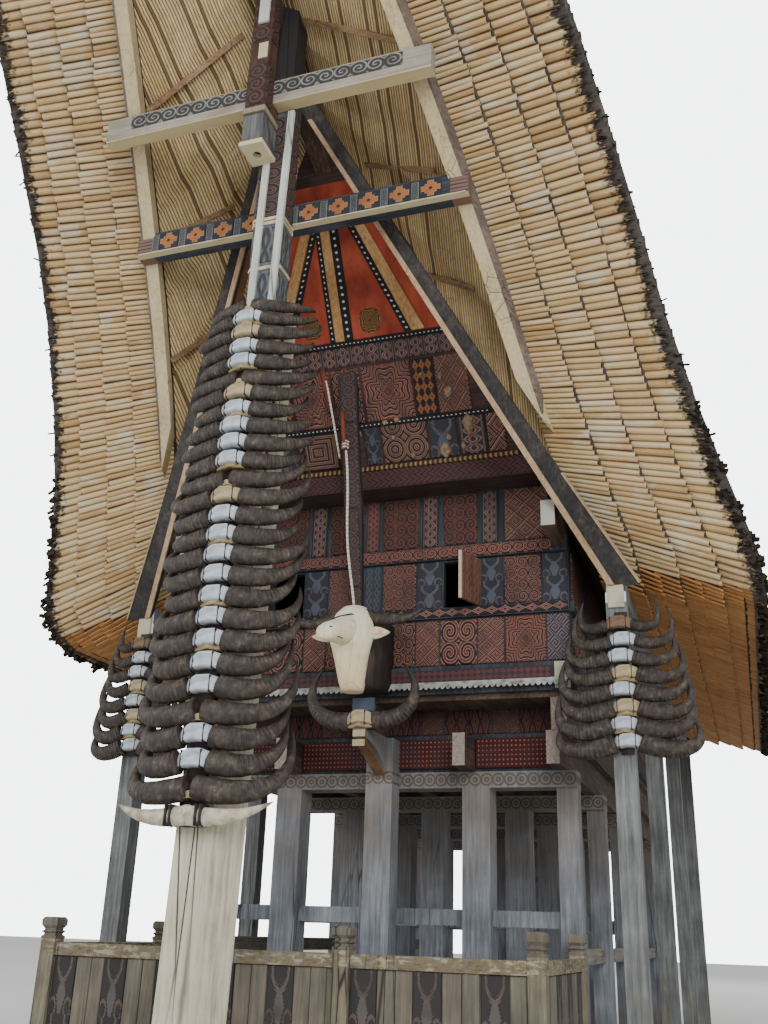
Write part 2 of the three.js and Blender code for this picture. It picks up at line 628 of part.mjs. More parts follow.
// The carved buffalo head on its neck over the middle of the wall.
function buffaloHead() {
  const sections = [
    [3730, 4500, 110, 90], [3630, 4540, 185, 130], [3480, 4560, 200, 145],
    [3270, 4540, 140, 120], [3090, 4500, 118, 105], [3010, 4470, 88, 80],
  ];
  const skull = loft(
    sections.map(([z, reach, wide, deep]) =>
      Array.from({ length: 8 }, (_, k) => {
        const turn = ((k + 0.5) * Math.PI) / 4;
        return new THREE.Vector3(wide * Math.cos(turn), -reach + deep * Math.sin(turn), z);
      }),
    ),
    ["x", "y"],
  );
  const neckRing = (reach, wide, low, high) => [
    new THREE.Vector3(-wide, -reach, low), new THREE.Vector3(wide, -reach, low),
    new THREE.Vector3(wide, -reach, high), new THREE.Vector3(-wide, -reach, high),
  ];
  const railFront = WALL_REACH + RAIL_PROUD + SEAT;
  const neck = loft([neckRing(railFront, 190, 3090, 3720), neckRing(4500, 130, 3080, 3650)]);
  const tenon = box([-160, 160], [-railFront - 10, -WALL_REACH - SEAT], [SILL_TOP + 10, ROPE_RAIL[0] - 60]);
  const curve = new THREE.CubicBezierCurve3(
    new THREE.Vector3(90, -4510, 3650), new THREE.Vector3(330, -4500, 3600),
    new THREE.Vector3(520, -4480, 3610), new THREE.Vector3(630, -4450, 3740),
  );
  const right = horn(curve, 62, 5);
  const ear = loft([
    [new THREE.Vector3(150, -4560, 3540), new THREE.Vector3(150, -4500, 3500), new THREE.Vector3(150, -4580, 3460)],
    [new THREE.Vector3(350, -4560, 3500), new THREE.Vector3(350, -4545, 3490), new THREE.Vector3(350, -4565, 3480)],
  ], ["y", "z"]);
  const muzzleRing = (x, reach, wide, low, high) => [
    new THREE.Vector3(x - wide, -reach, low), new THREE.Vector3(x - wide * 0.5, -reach, low - 20),
    new THREE.Vector3(x + wide * 0.5, -reach, low - 20), new THREE.Vector3(x + wide, -reach, low),
    new THREE.Vector3(x + wide, -reach, high), new THREE.Vector3(x + wide * 0.5, -reach, high + 20),
    new THREE.Vector3(x - wide * 0.5, -reach, high + 20), new THREE.Vector3(x - wide, -reach, high),
  ];
  const muzzle = loft([
    muzzleRing(0, 4500, 120, 3400, 3680), muzzleRing(-50, 4720, 95, 3370, 3600), muzzleRing(-95, 4930, 80, 3370, 3500),
  ]);
  const head = join([skull, neck, tenon, muzzle, right, mirroredX(right), ear, mirroredX(ear)]);
  return shifted(head, HEAD_X, 0, 0);
}

// The great horns that stand on the arm of the centre post.
function lowerHorns() {
  const curve = new THREE.CubicBezierCurve3(
    new THREE.Vector3(60, 0, 0), new THREE.Vector3(420, 0, -60),
    new THREE.Vector3(610, 0, 230), new THREE.Vector3(370, 0, 480),
  );
  const right = horn(curve, 60, 6);
  const skull = box([-110, 110], [-45, 45], [-60, 100]);
  return shifted(join([skull, right, mirroredX(right)]), (ARM.x[0] + ARM.x[1]) / 2, -ARM.tip + 50, BEARER_TOP + 60 + SEAT);
}

// The fence of the porch: front and two returns, boards under a rail between newels.
function porchFence() {
  const { left, right, reach, top, board, rail, railZ } = FENCE;
  const lineX = [left, right];
  const panels = [
    box(lineX, [-reach - board / 2, -reach + board / 2], [60, railZ[0]]),
    box(lineX, [-reach - rail / 2, -reach + rail / 2], railZ),
  ];
  for (const x of lineX) {
    panels.push(box([x - board / 2, x + board / 2], [-reach, -FENCE_BACK], [60, railZ[0]]));
    panels.push(box([x - rail / 2, x + rail / 2], [-reach, -FENCE_BACK], railZ));
  }
  const newels = [[left, reach], [400, reach], [right, reach], [left, FENCE_BACK + 60], [right, FENCE_BACK + 60]];
  for (const [x, y] of newels) {
    panels.push(box([x - NEWEL / 2, x + NEWEL / 2], [-y - NEWEL / 2, -y + NEWEL / 2], [0, top + 40]));
    const knob = new THREE.CylinderGeometry(28, 52, NEWEL_TOP - top - 40, 8);
    panels.push(solidOf(knob.rotateX(Math.PI / 2).translate(x, -y, (NEWEL_TOP + top + 40) / 2)));
  }
  return join(panels);
}

// Assembly

const timber = (color, roughness = 0.85) => new THREE.MeshStandardMaterial({ color, roughness, metalness: 0 });
const MATERIALS = {
  weathered: timber(0x8a8070),
  dark: timber(0x4a3328),
  carvedRed: timber(0x6e2d23),
  blueBlack: timber(0x373c46),
  pale: timber(0xd7c8a0),
  greyCream: timber(0xc8c3b4),
  navy: timber(0x2d323c),
  bamboo: timber(0xcdb98c),
  reed: timber(0xbea069),
  horn: timber(0x4b4641, 0.6),
  cream: timber(0xebe1c3, 0.7),
  fence: timber(0x968c6e),
};

const house = new THREE.Group();

function add(name, solid, material) {
  const geometry = geometryOf(solid);
  geometry.computeVertexNormals();
  const mesh = new THREE.Mesh(geometry, MATERIALS[material]);
  mesh.name = name;
  house.add(mesh);
}

const rows = ["front", "second", "middle", "fourth", "rear"];
rows.forEach((name, i) => {
  const y = -ROW_REACH + i * ROW_PITCH;
  const inside = i === 0 ? [-POST_X[0], POST_X[0]] : [-POST_X[0], 0, POST_X[0]];
  add(name + "_post_row", postRow(y, inside), "weathered");
});
add("centre_front_post", centrePost(), "weathered");
add("left_long_tie", longTie(corners[0]), "weathered");
add("right_long_tie", longTie(corners[1]), "weathered");
add("centre_bearer", bearer(0), "dark");
add("inner_left_bearer", bearer(-BEARER_X[1]), "dark");
add("inner_right_bearer", bearer(BEARER_X[1]), "dark");
add("left_bearer", bearer(-BEARER_X[2]), "dark");
add("right_bearer", bearer(BEARER_X[2]), "dark");
add("floor_frame", floorFrame(), "dark");
const rightApron = apron();
add("front_right_apron", rightApron, "carvedRed");
add("front_left_apron", mirroredX(rightApron), "carvedRed");
add("rear_right_apron", mirroredY(rightApron), "carvedRed");
add("rear_left_apron", mirroredX(mirroredY(rightApron)), "carvedRed");

add("front_wall", gableWall([-1, 1]), "carvedRed");
add("rear_wall", mirroredY(gableWall([])), "carvedRed");
add("left_wall", sideWall(-1), "carvedRed");
add("right_wall", sideWall(1), "carvedRed");
add("left_wall_plate", wallPlate(-1), "dark");
add("right_wall_plate", wallPlate(1), "dark");
const gable = upperGable();
add("front_gable", gable, "carvedRed");
add("rear_gable", mirroredY(gable), "carvedRed");
add("front_left_shutter", shutter(-1), "dark");
add("front_right_shutter", shutter(1), "dark");

const barge = bargeRafters();
add("front_barge_rafters", barge, "blueBlack");
add("rear_barge_rafters", mirroredY(barge), "blueBlack");
const verge = vergeRafter();
add("front_right_verge_rafter", verge, "pale");
add("front_left_verge_rafter", mirroredX(verge), "pale");
add("rear_right_verge_rafter", mirroredY(verge), "pale");
add("rear_left_verge_rafter", mirroredX(mirroredY(verge)), "pale");
for (const [height, beam, material] of [["lower", LOWER_CROSSBEAM, "navy"], ["upper", UPPER_CROSSBEAM, "greyCream"]]) {
  add("front_" + height + "_crossbeam", crossbeam(beam), material);
  add("rear_" + height + "_crossbeam", mirroredY(crossbeam(beam)), material);
}
const post = prowPost();
add("front_prow_post", post, "greyCream");
add("rear_prow_post", mirroredY(post), "greyCream");
add("prow_block", prowBlock(), "dark");
add("ridge_beam", cut(ridgeBeam(0), sky), "dark");

const soffit = soffitSheet();
add("front_soffit", soffit, "reed");
add("rear_soffit", mirroredY(soffit), "reed");
const shell = roofShell(ROOF_SPLIT, STATIONS.at(-1));
const halfMiddle = roofShell(0, ROOF_SPLIT);
const middle = halfMiddle.add(mirroredY(halfMiddle));
add("front_right_roof", shell, "bamboo");
add("front_left_roof", mirroredX(shell), "bamboo");
add("middle_right_roof", middle, "bamboo");
add("middle_left_roof", mirroredX(middle), "bamboo");
add("rear_right_roof", mirroredY(shell), "bamboo");
add("rear_left_roof", mirroredX(mirroredY(shell)), "bamboo");
const eaves = eavesFrame();
add("right_eaves_frame", eaves, "weathered");
add("left_eaves_frame", mirroredX(eaves), "weathered");

const stackOnPost = hornStack({
  x: 0,
  reach: PROW_POST_REACH + PROW_POST_FLAT + SEAT,
  board: { width: 120, thick: 60, z: [1650, 5290] },
  pairs: prowPairs,
});
add("prow_post_horns", leanedWithPost(stackOnPost), "horn");
const sideStack = (x, low, span) =>
  hornStack({
    x,
    reach: SIDE_POST_REACH[1] + SIDE_POST.depth / 2 + SEAT,
    board: { width: 100, thick: 40, z: [low - 80, low + 1090] },
    pairs: sidePairs(low, span),
  });
add("right_post_horns", sideStack(2310, 2560, 520), "horn");
add("left_post_horns", sideStack(-2240, 2640, 400), "horn");
const head = buffaloHead();
add("buffalo_head", head, "cream");
add("leaning_centre_post", leaningPost(head), "carvedRed");
add("lower_horns", lowerHorns(), "horn");
add("porch_fence", porchFence(), "fence");

export default house;
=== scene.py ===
import math
import random

import bpy
import numpy as np
from mathutils import Matrix, Vector


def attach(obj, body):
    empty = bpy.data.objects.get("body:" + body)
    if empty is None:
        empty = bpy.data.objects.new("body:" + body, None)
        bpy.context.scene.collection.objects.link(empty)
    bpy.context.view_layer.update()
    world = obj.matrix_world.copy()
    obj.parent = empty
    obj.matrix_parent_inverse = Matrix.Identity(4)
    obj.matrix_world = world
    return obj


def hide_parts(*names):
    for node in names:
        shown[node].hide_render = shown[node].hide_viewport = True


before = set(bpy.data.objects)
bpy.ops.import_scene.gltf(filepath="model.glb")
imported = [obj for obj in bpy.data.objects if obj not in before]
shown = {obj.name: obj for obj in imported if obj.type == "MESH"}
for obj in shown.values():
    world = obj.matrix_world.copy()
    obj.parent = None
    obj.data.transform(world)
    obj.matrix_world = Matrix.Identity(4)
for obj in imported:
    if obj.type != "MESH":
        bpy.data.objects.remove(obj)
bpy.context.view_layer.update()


# Camera
# The picture is taken from low down in front of the front gable, a little to its right, looking up
# under the prow. The house faces -Y and its middle is the origin. Turns are in degrees.
def put(name, data):
    """A new object in the scene."""
    made = bpy.data.objects.new(name, data)
    bpy.context.scene.collection.objects.link(made)
    return made


CAMERA_PLACE = (3.21, -12.715, 1.10)
CAMERA_TURNS = (-19.592, 22.135, 1.932)
yaw, pitch, roll = (math.radians(angle) for angle in CAMERA_TURNS)
ahead = Vector((math.sin(yaw) * math.cos(pitch), math.cos(yaw) * math.cos(pitch), math.sin(pitch)))
level = Vector((math.cos(yaw), -math.sin(yaw), 0))
overhead = level.cross(ahead)
across = level * math.cos(roll) + overhead * math.sin(roll)
upward = overhead * math.cos(roll) - level * math.sin(roll)
view = bpy.data.cameras.new("view")
view.lens = 36.39
view.sensor_width = 36
camera = put("view", view)
camera.matrix_world = Matrix([
    *([*turned, place] for turned, place in zip(zip(across, upward, -ahead), CAMERA_PLACE)),
    [0, 0, 0, 1],
])
bpy.context.scene.camera = camera

# Floor and light
# A plain pale floor, and soft light from a bright sky with two wide panels in front of the gable and
# one behind the house. The sky is brighter where the camera sees it than it is as a light.
FLOOR_HALF = 60
SKY_LIGHT = 0.9
SKY_SEEN = 5.0
floor_mesh = bpy.data.meshes.new("studio_floor")
floor_corners = [(x * FLOOR_HALF, y * FLOOR_HALF, 0) for x, y in ((-1, -1), (1, -1), (1, 1), (-1, 1))]
floor_mesh.from_pydata(floor_corners, [], [(0, 1, 2, 3)])
studio_floor = put("studio_floor", floor_mesh)
pale_floor = bpy.data.materials.new("pale_floor")
pale_floor.use_nodes = True
floor_shader = pale_floor.node_tree.nodes["Principled BSDF"]
floor_shader.inputs["Base Color"].default_value = (0.72, 0.71, 0.69, 1)
floor_shader.inputs["Roughness"].default_value = 0.9
floor_mesh.materials.append(pale_floor)
sky = bpy.data.worlds.new("sky")
sky.use_nodes = True
background = sky.node_tree.nodes["Background"]
background.inputs["Color"].default_value = (0.9, 0.92, 0.95, 1)
seen = sky.node_tree.nodes.new("ShaderNodeLightPath")
strength = sky.node_tree.nodes.new("ShaderNodeMath")
strength.operation = "MULTIPLY_ADD"
strength.inputs[1].default_value = SKY_SEEN
strength.inputs[2].default_value = SKY_LIGHT
sky.node_tree.links.new(seen.outputs["Is Camera Ray"], strength.inputs[0])
sky.node_tree.links.new(strength.outputs[0], background.inputs["Strength"])
bpy.context.scene.world = sky
for name, place, aim, size, power in (
    ("front_panel", (9, -22, 9), (0, -5, 4), 9, 2600),
    ("left_panel", (-16, -14, 10), (0, -5, 4), 8, 1300),
    ("rear_panel", (4, 24, 14), (0, 5, 4), 9, 1200),
):
    panel_light = bpy.data.lights.new(name, "AREA")
    panel_light.size = size
    panel_light.energy = power
    lamp = put(name, panel_light)
    lamp.location = place
    lamp.rotation_euler = (Vector(aim) - Vector(place)).to_track_quat("-Z", "Y").to_euler()


# Posts and ties
# Square posts of grey weathered hardwood stand in rows under the house, with flat ties through
# them and a cap beam on their heads. They are hand cut, cracked along the grain, and bare.
def shade(red, green, blue):
    """A colour given as a painter reads it off, 0 to 255."""
    linear = lambda c: c / 12.92 if c <= 0.04045 else ((c + 0.055) / 1.055) ** 2.4
    return (*(linear(part / 255) for part in (red, green, blue)), 1)


def painted(colour):
    """A colour of three numbers is one that a painter reads off."""
    return shade(*colour) if len(colour) == 3 else colour


class Tone:
    """A value that changes over a piece, on its way through a finish."""

    def __init__(self, finish, socket):
        self.finish, self.socket = finish, socket

    def math(self, operation, *others):
        sockets = dict(enumerate((self, *others)))
        return self.finish.node("ShaderNodeMath", 0, {"operation": operation}, sockets)

    def __rsub__(self, other):
        return self.finish.node("ShaderNodeMath", 0, {"operation": "SUBTRACT"}, {0: other, 1: self})

    def __abs__(self):
        return self.math("ABSOLUTE")

    def between(self, low, high):
        """Rises smoothly from 0 at low to 1 at high."""
        settings = {"interpolation_type": "SMOOTHSTEP"}
        sockets = {"Value": self, "From Min": low, "From Max": high}
        return self.finish.node("ShaderNodeMapRange", 0, settings, sockets)


# The operators whose first value is the tone itself, or whose order makes no difference.
for sign, operation in (
    ("add", "ADD"), ("radd", "ADD"), ("sub", "SUBTRACT"), ("mul", "MULTIPLY"), ("rmul", "MULTIPLY"),
    ("truediv", "DIVIDE"), ("mod", "FLOORED_MODULO"), ("gt", "GREATER_THAN"), ("lt", "LESS_THAN"),
    ("and", "MINIMUM"), ("or", "MAXIMUM"),
):
    setattr(Tone, f"__{sign}__", lambda self, other, operation=operation: self.math(operation, other))


class Finish:
    """A material that reads where it is on the piece. The one in hand is called paint below."""

    def __init__(self, name, roughness=0.85, specular=0.3):
        self.material = bpy.data.materials.new(name)
        self.material.use_nodes = True
        self.tree = self.material.node_tree
        self.shader = self.tree.nodes["Principled BSDF"]
        self.shader.inputs["Roughness"].default_value = roughness
        self.shader.inputs["Specular IOR Level"].default_value = specular
        self.place = self.node("ShaderNodeTexCoord", "Object")
        self.x, self.y, self.z = self.parts(self.place)

    def node(self, kind, output, settings=(), sockets=()):
        made = self.tree.nodes.new(kind)
        for name, value in dict(settings).items():
            setattr(made, name, value)
        for name, value in dict(sockets).items():
            if isinstance(value, Tone):
                self.tree.links.new(value.socket, made.inputs[name])
            elif made.inputs[name].type == "RGBA":
                made.inputs[name].default_value = painted(value)
            else:
                made.inputs[name].default_value = value
        return Tone(self, made.outputs[output])

    def parts(self, vector):
        split = self.tree.nodes.new("ShaderNodeSeparateXYZ")
        self.tree.links.new(vector.socket, split.inputs[0])
        return [Tone(self, split.outputs[i]) for i in range(3)]

    def uv(self):
        return self.parts(self.node("ShaderNodeTexCoord", "UV"))[:2]

    def attribute(self, name):
        return self.node("ShaderNodeAttribute", "Fac", {"attribute_name": name})

    def stretched(self, stretch):
        """Places on the piece, scaled so that a pattern is drawn out where the stretch is under 1."""
        return self.node("ShaderNodeVectorMath", 0, {"operation": "MULTIPLY"}, {0: self.place, 1: stretch})

    def noise(self, scale, stretch=(1, 1, 1), detail=3.0, rough=0.55):
        sockets = {"Vector": self.stretched(stretch), "Scale": scale, "Detail": detail, "Roughness": rough}
        return self.node("ShaderNodeTexNoise", 0, (), sockets)

    def cells(self, scale, stretch=(1, 1, 1), feature="F1"):
        sockets = {"Vector": self.stretched(stretch), "Scale": scale}
        return self.node("ShaderNodeTexVoronoi", "Distance", {"feature": feature}, sockets)

    def spots(self):
        """Places on a laid piece, before it was laid: along it, across it and up."""
        return self.parts(self.node("ShaderNodeAttribute", "Vector", {"attribute_name": "spot"}))

    def chance(self, value):
        """A number from 0 to 1 that is another one for each whole value."""
        return self.node("ShaderNodeTexWhiteNoise", 0, {"noise_dimensions": "1D"}, {"W": value})

    def coat(self, mask, colour):
        """Lays a colour over the finish where the mask is 1."""
        self.colour = self.mix(mask, self.colour, colour)

    def mix(self, factor, first, second):
        return self.node("ShaderNodeMix", 2, {"data_type": "RGBA"}, {0: factor, 6: first, 7: second})

    def ramp(self, value, stops):
        made = self.tree.nodes.new("ShaderNodeValToRGB")
        band = made.color_ramp
        stops = [(position, painted(colour)) for position, colour in stops]
        band.elements[0].position, band.elements[0].color = stops[0]
        band.elements[1].position, band.elements[1].color = stops[-1]
        for position, colour in stops[1:-1]:
            band.elements.new(position).color = colour
        self.tree.links.new(value.socket, made.inputs[0])
        return Tone(self, made.outputs[0])

    def done(self, height, depth):
        """The material, in the colour that the finish has by now."""
        self.tree.links.new(self.colour.socket, self.shader.inputs["Base Color"])
        bump = self.node("ShaderNodeBump", 0, (), {"Strength": 0.9, "Distance": depth, "Height": height})
        self.tree.links.new(bump.socket, self.shader.inputs["Normal"])
        return self.material


GRAIN = {"x": (0.06, 1, 1), "y": (1, 0.06, 1), "z": (1, 1, 0.06)}


def timber(finish, along, dark, middle, light, cracks):
    """Bare wood with its grain along one direction: returns its colour and its height."""
    grain = finish.noise(38, GRAIN[along], 5.0, 0.65)
    stain = finish.noise(1.7, GRAIN[along], 3.0)
    patch = finish.noise(3.1, detail=4.0)
    tone = grain * 0.55 + stain * 0.3 + patch * 0.35
    colour = finish.ramp(tone, [(0.36, dark), (0.58, middle), (0.8, light)])
    split = finish.cells(9, GRAIN[along], "DISTANCE_TO_EDGE")
    split_here = finish.noise(2.3, GRAIN[along], 2.0).between(0.5, 0.62)
    crack = (1 - split.between(0.0, 0.035)) * split_here * cracks
    colour = finish.mix(crack, colour, (28, 24, 20))
    return colour, grain - crack * 1.5


def wooden(name, along, dark, middle, light, cracks=0.6, *shine):
    """A finish that starts as bare wood, and the height of its grain."""
    finish = Finish(name, *shine)
    finish.colour, relief = timber(finish, along, dark, middle, light, cracks)
    return finish, relief


def bare_wood(name, along, dark, middle, light, cracks=0.6, depth=0.003):
    """The material of wood with nothing on it."""
    finish, relief = wooden(name, along, dark, middle, light, cracks)
    return finish.done(relief, depth)


def dress(material, *names):
    """Puts a finish on nodes of the frame."""
    for name in names:
        mesh = shown[name].data
        mesh.materials.clear()
        mesh.materials.append(material)


paint, relief = wooden("weathered_posts", "z", (66, 66, 66), (112, 117, 124), (158, 162, 164), 0.8)
# Browner in patches between 1.1 m and 2.2 m up.
browner_band = paint.z.between(1.1, 2.2) * paint.noise(2.2).between(0.2, 0.5)
paint.coat(browner_band * 0.5, (120, 106, 90))
low = 1 - paint.z.between(0.0, 0.7)
paint.coat(low * 0.55, (98, 88, 72))
band = paint.z.between(2.33, 2.34) * (1 - paint.z.between(2.44, 2.45))
DISC_PITCH = 0.105
disc_x = (paint.x / DISC_PITCH) % 1.0 - 0.5
disc_z = (paint.z - 2.39) / DISC_PITCH
discs = (disc_x * disc_x + disc_z * disc_z).math("SQRT") * 3.2
cuts = (1 - abs((discs % 1.0) * 2 - 1)).between(0.45, 0.65) * band
paint.coat(band * 0.35, (122, 112, 96))
paint.coat(cuts * 0.6, (66, 60, 54))
dress(
    paint.done(relief - cuts, 0.006),
    "front_post_row", "second_post_row", "middle_post_row", "fourth_post_row", "rear_post_row",
    "centre_front_post",
)
dress(
    bare_wood("weathered_ties", "y", (62, 56, 50), (110, 104, 94), (150, 142, 126), depth=0.005),
    "left_long_tie", "right_long_tie",
)
paint, relief = wooden("eaves_timber", "z", (58, 58, 58), (108, 110, 110), (152, 154, 150), 0.8)
lichen = (1 - paint.z.between(0.2, 1.2)) * paint.noise(6, detail=5.0).between(0.4, 0.7)
paint.coat(lichen * 0.6, (112, 104, 78))
painted_end = (abs(paint.y) > 4.168) * (paint.z > 3.75)
paint.coat(painted_end, (216, 220, 220))
dress(paint.done(relief, 0.006), "left_eaves_frame", "right_eaves_frame")

# Bearers, floor and aprons
# Dark squared bearers lie on the cap beams and carry the joists and the boards of the floor, their
# sawn ends bleached. Boards cut with patterns and painted close the frame over the outer posts.
paint, relief = wooden("dark_timber", "y", (34, 27, 24), (70, 55, 46), (112, 92, 76))
sawn = (abs(paint.y) > 3.922) * (paint.z < 3.02) * (1 - (abs(paint.y) > 4.0))
bleached = paint.ramp(relief, [(0.3, (128, 114, 106)), (0.8, (178, 164, 154))])
paint.coat(sawn * 0.85, bleached)
paint.coat((abs(paint.y) > 4.515) * (paint.z < 4.7), (160, 160, 150))
dress(
    paint.done(relief, 0.004),
    "centre_bearer", "inner_left_bearer", "inner_right_bearer", "left_bearer", "right_bearer", "floor_frame",
    "left_wall_plate", "right_wall_plate", "ridge_beam",
)


def turns(count, start=0.0):
    """The angles of even steps round a circle."""
    return [(k + start) * math.tau / count for k in range(count)]


class Stock:
    """Collects closed shapes, each with its finish, then makes them one mesh."""

    def __init__(self):
        self.points, self.faces, self.finishes, self.grades, self.uvs = [], [], [], [], []

    def skin(self, rings, finish, grades=None, uvs=None):
        """A closed skin over rings of points. The ends are flat."""
        rings = [np.asarray(ring, dtype=float) for ring in rings]
        count, base = len(rings[0]), len(self.points)
        points = np.concatenate(rings)
        quads = []
        for k in range(len(rings) - 1):
            for i in range(count):
                j = (i + 1) % count
                quads.append((k * count + i, k * count + j, (k + 1) * count + j, (k + 1) * count + i))
        last = (len(rings) - 1) * count
        faces = quads + [tuple(range(count))[::-1], tuple(last + i for i in range(count))]
        middle = points.mean(axis=0)
        volume = 0.0
        for face in faces:
            corners = points[list(face)] - middle
            for i in range(1, len(face) - 1):
                volume += np.dot(corners[0], np.cross(corners[i], corners[i + 1]))
        if volume < 0:
            faces = [face[::-1] for face in faces]
        self.points += [tuple(point) for point in points]
        self.faces += [tuple(base + i for i in face) for face in faces]
        self.finishes += [finish] * len(faces)
        steps = grades if grades is not None else [0.0] * len(rings)
        self.grades += [grade for grade in steps for _ in range(count)]
        flat = uvs if uvs is not None else [(0.0, 0.0)] * len(points)
        self.uvs += [flat[i] for face in faces for i in face]

    def block(self, x, y, z, finish):
        corners = [(x[0], y[0]), (x[1], y[0]), (x[1], y[1]), (x[0], y[1])]
        self.skin([[(*corner, height) for corner in corners] for height in z], finish)

    def bar(self, start, end, width, thick, finish, facing=(0, -1, 0)):
        """A straight lath from one place to another, its width across the way it faces."""
        start, end, facing = (np.array(value, dtype=float) for value in (start, end, facing))
        side = np.cross(end - start, facing)
        side *= width / 2 / np.linalg.norm(side)
        back = facing / np.linalg.norm(facing) * -thick
        self.skin([[p - side, p + side, p + side + back, p - side + back] for p in (start, end)], finish)

    def tube(self, path, radius, finish, corners=8):
        """A round rope or stick along a path. Its grade is the length that has run, in metres."""
        path = np.array(path, dtype=float)
        rings, grades, run = [], [], 0.0
        for i, point in enumerate(path):
            along = path[min(i + 1, len(path) - 1)] - path[max(i - 1, 0)]
            along /= np.linalg.norm(along)
            side = np.cross(along, (0.31, 0.82, 0.47))
            side /= np.linalg.norm(side)
            other = np.cross(along, side)
            rings.append([
                point + (side * math.cos(turn) + other * math.sin(turn)) * radius
                for turn in turns(corners)
            ])
            run += float(np.linalg.norm(point - path[max(i - 1, 0)]))
            grades.append(run)
        self.skin(rings, finish, grades)

    def make(self, name, smooth=True):
        mesh = bpy.data.meshes.new(name)
        mesh.from_pydata(self.points, [], self.faces)
        kinds = list(dict.fromkeys(self.finishes))
        for material in kinds:
            mesh.materials.append(material)
        mesh.polygons.foreach_set("material_index", [kinds.index(finish) for finish in self.finishes])
        mesh.polygons.foreach_set("use_smooth", [smooth and len(face) == 4 for face in self.faces])
        mesh.attributes.new("grade", "FLOAT", "POINT").data.foreach_set("value", self.grades)
        layer = mesh.uv_layers.new(name="UVMap")
        layer.data.foreach_set("uv", np.array(self.uvs, dtype=np.float32).ravel())
        made = put(name, mesh)
        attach(made, "root")
        return made


def upright(side, reach):
    """Places on an upright gable wall: across, height and how far they stand out."""
    return lambda x, z, proud: (-side * x, side * (reach + proud), z)


def board(stock, place, corners, finish, cells=(1, 1), proud=0.014):
    """A flat board with eased edges. Its pattern repeats as often as the cells say."""
    corners = np.array(corners, dtype=float)
    low, high = corners.min(axis=0), corners.max(axis=0)
    ease = min(0.007, *(high - low) / 5)
    eased = corners - np.sign(corners - corners.mean(axis=0)) * ease
    rings = [(corners, -0.002), (corners, proud - ease * 0.7), (eased, proud)]
    spots = [(0, 0), (1, 0), (1, 1), (0, 1)] if len(corners) == 4 else (corners - low) / (high - low)
    stock.skin(
        [[place(u, v, lift) for u, v in ring] for ring, lift in rings], finish,
        uvs=[(u * cells[0], v * cells[1]) for _ in rings for u, v in spots],
    )


def panel(stock, place, u, v, finish, cells=(1, 1), proud=0.014):
    board(stock, place, [(u[0], v[0]), (u[1], v[0]), (u[1], v[1]), (u[0], v[1])], finish, cells, proud)


def cell(value):
    return value % 1.0 - 0.5


def wave(value):
    return 1 - abs((value % 1.0) * 2 - 1)


def far(x, y):
    return (x * x + y * y).math("SQRT")


def spiral(u, v):
    x, y = cell(u) * (1 - (u.math("FLOOR") % 2.0) * 2), cell(v)
    return wave(far(x, y) * 3.3 - y.math("ARCTAN2", x) / math.tau)


def flower(u, v):
    return spiral(u, v) | ((0.14 - far(cell(u + 0.5), cell(v + 0.5))) * 9 + 0.5)


def key(u, v):
    x, y = cell(u), cell(v)
    below, above = x > y, x > y * -1.0
    quarter = (1 - below) * (0.5 - above * 0.25) + below * (1 - above) * 0.75
    return wave((abs(x) | abs(y)) * 4.2 - quarter)


def meander(u, v):
    return key((u + v) * 0.7, (v - u) * 0.7)


def zigzag(u, v):
    return wave(u * 2 + abs(cell(v)) * 2)


def braid(u, v):
    x, sway = cell(u), (v * math.tau).math("SINE") * 0.24
    return (1 - (abs(x - sway) & abs(x + sway)) * 5.0) | ((0.05 - abs(abs(x) - 0.42)) * 20)


def buffalo(u, v):
    x, y = abs(cell(u)), cell(v)
    horns = 1 - abs(far(x, y - 0.46) - 0.34) * 8
    face = (0.3 - abs(y + 0.16) * 0.5 - x) * 9 * (y < 0.14)
    cheek = 1 - abs(far(x - 0.38, y + 0.38) - 0.16) * 12
    lines = wave(far(x, y - 0.6) * 15) * 0.75
    return (horns | face | cheek | lines * 0.62) - lines * 0.5 - (x < 0.04) * 0.4


def sun(u, v):
    x, y = cell(u), cell(v)
    rays = (y.math("ARCTAN2", x) * 8).math("COSINE") * 0.22
    return wave(far(x, y) * 8.0 + rays * 2.6 + (abs(x) & abs(y)) * 5.0)


def cross(u, v):
    x, y = abs(cell(u)), abs(cell(v))
    arms = ((0.15 - (x & y)) & (0.46 - (x | y))) | (0.27 - (x | y))
    return arms * 9 + 0.5 - (far(x, y) < 0.09) * 3


def circles(u, v):
    return wave(far(cell(u), cell(v)) * 5.0 + 0.2)


def squares(u, v):
    return wave((abs(cell(u)) | abs(cell(v))) * 8.0)


def plait(u, v):
    return 1 - abs(abs(cell(u)) + abs(cell(v)) - 0.36) * 3.4


def leaf(u, v):
    return wave(abs(cell(u)) * 2 + abs(cell(v)) * (1.6 - abs(cell(v))))


def bead(u, v):
    return (0.2 - far(cell(u), cell(v))) * 8 + 0.5


def tick(u, v):
    return wave(u)


def plain(u, v):
    return wave(u * 0.5) + 1


def carved(name, motif, body, ground=(30, 28, 31), edge=(150, 118, 102), worn=0.5):
    """Boards cut with a pattern: the ground is dark, the raised part is painted, its edge is pale."""
    finish = Finish(name, 0.8)
    raised = motif(*finish.uv()) + (finish.noise(70) - 0.5) * 0.35
    finish.colour = finish.mix(raised.between(0.32, 0.42), ground, edge)
    finish.coat(raised.between(0.6, 0.72), body)
    dust = finish.noise(6, detail=5.0).between(0.46, 0.72)
    finish.coat(dust * worn, (56, 49, 47))
    return finish.done(raised.between(0.25, 0.6), 0.006)


red = (92, 44, 38)
# The apron boards are painted darker than the boards of the walls, in body and edge, as painted shade under
# the projecting wall.
leaves = carved("carved_leaves", leaf, (80, 34, 30), edge=(82, 58, 50))
zigzags = carved("carved_zigzags", meander, (88, 42, 36), edge=(112, 92, 80))
beads = carved("carved_beads", bead, (138, 96, 84), (66, 24, 24), (86, 34, 32))
ENDS = ((-1, "front"), (1, "rear"))


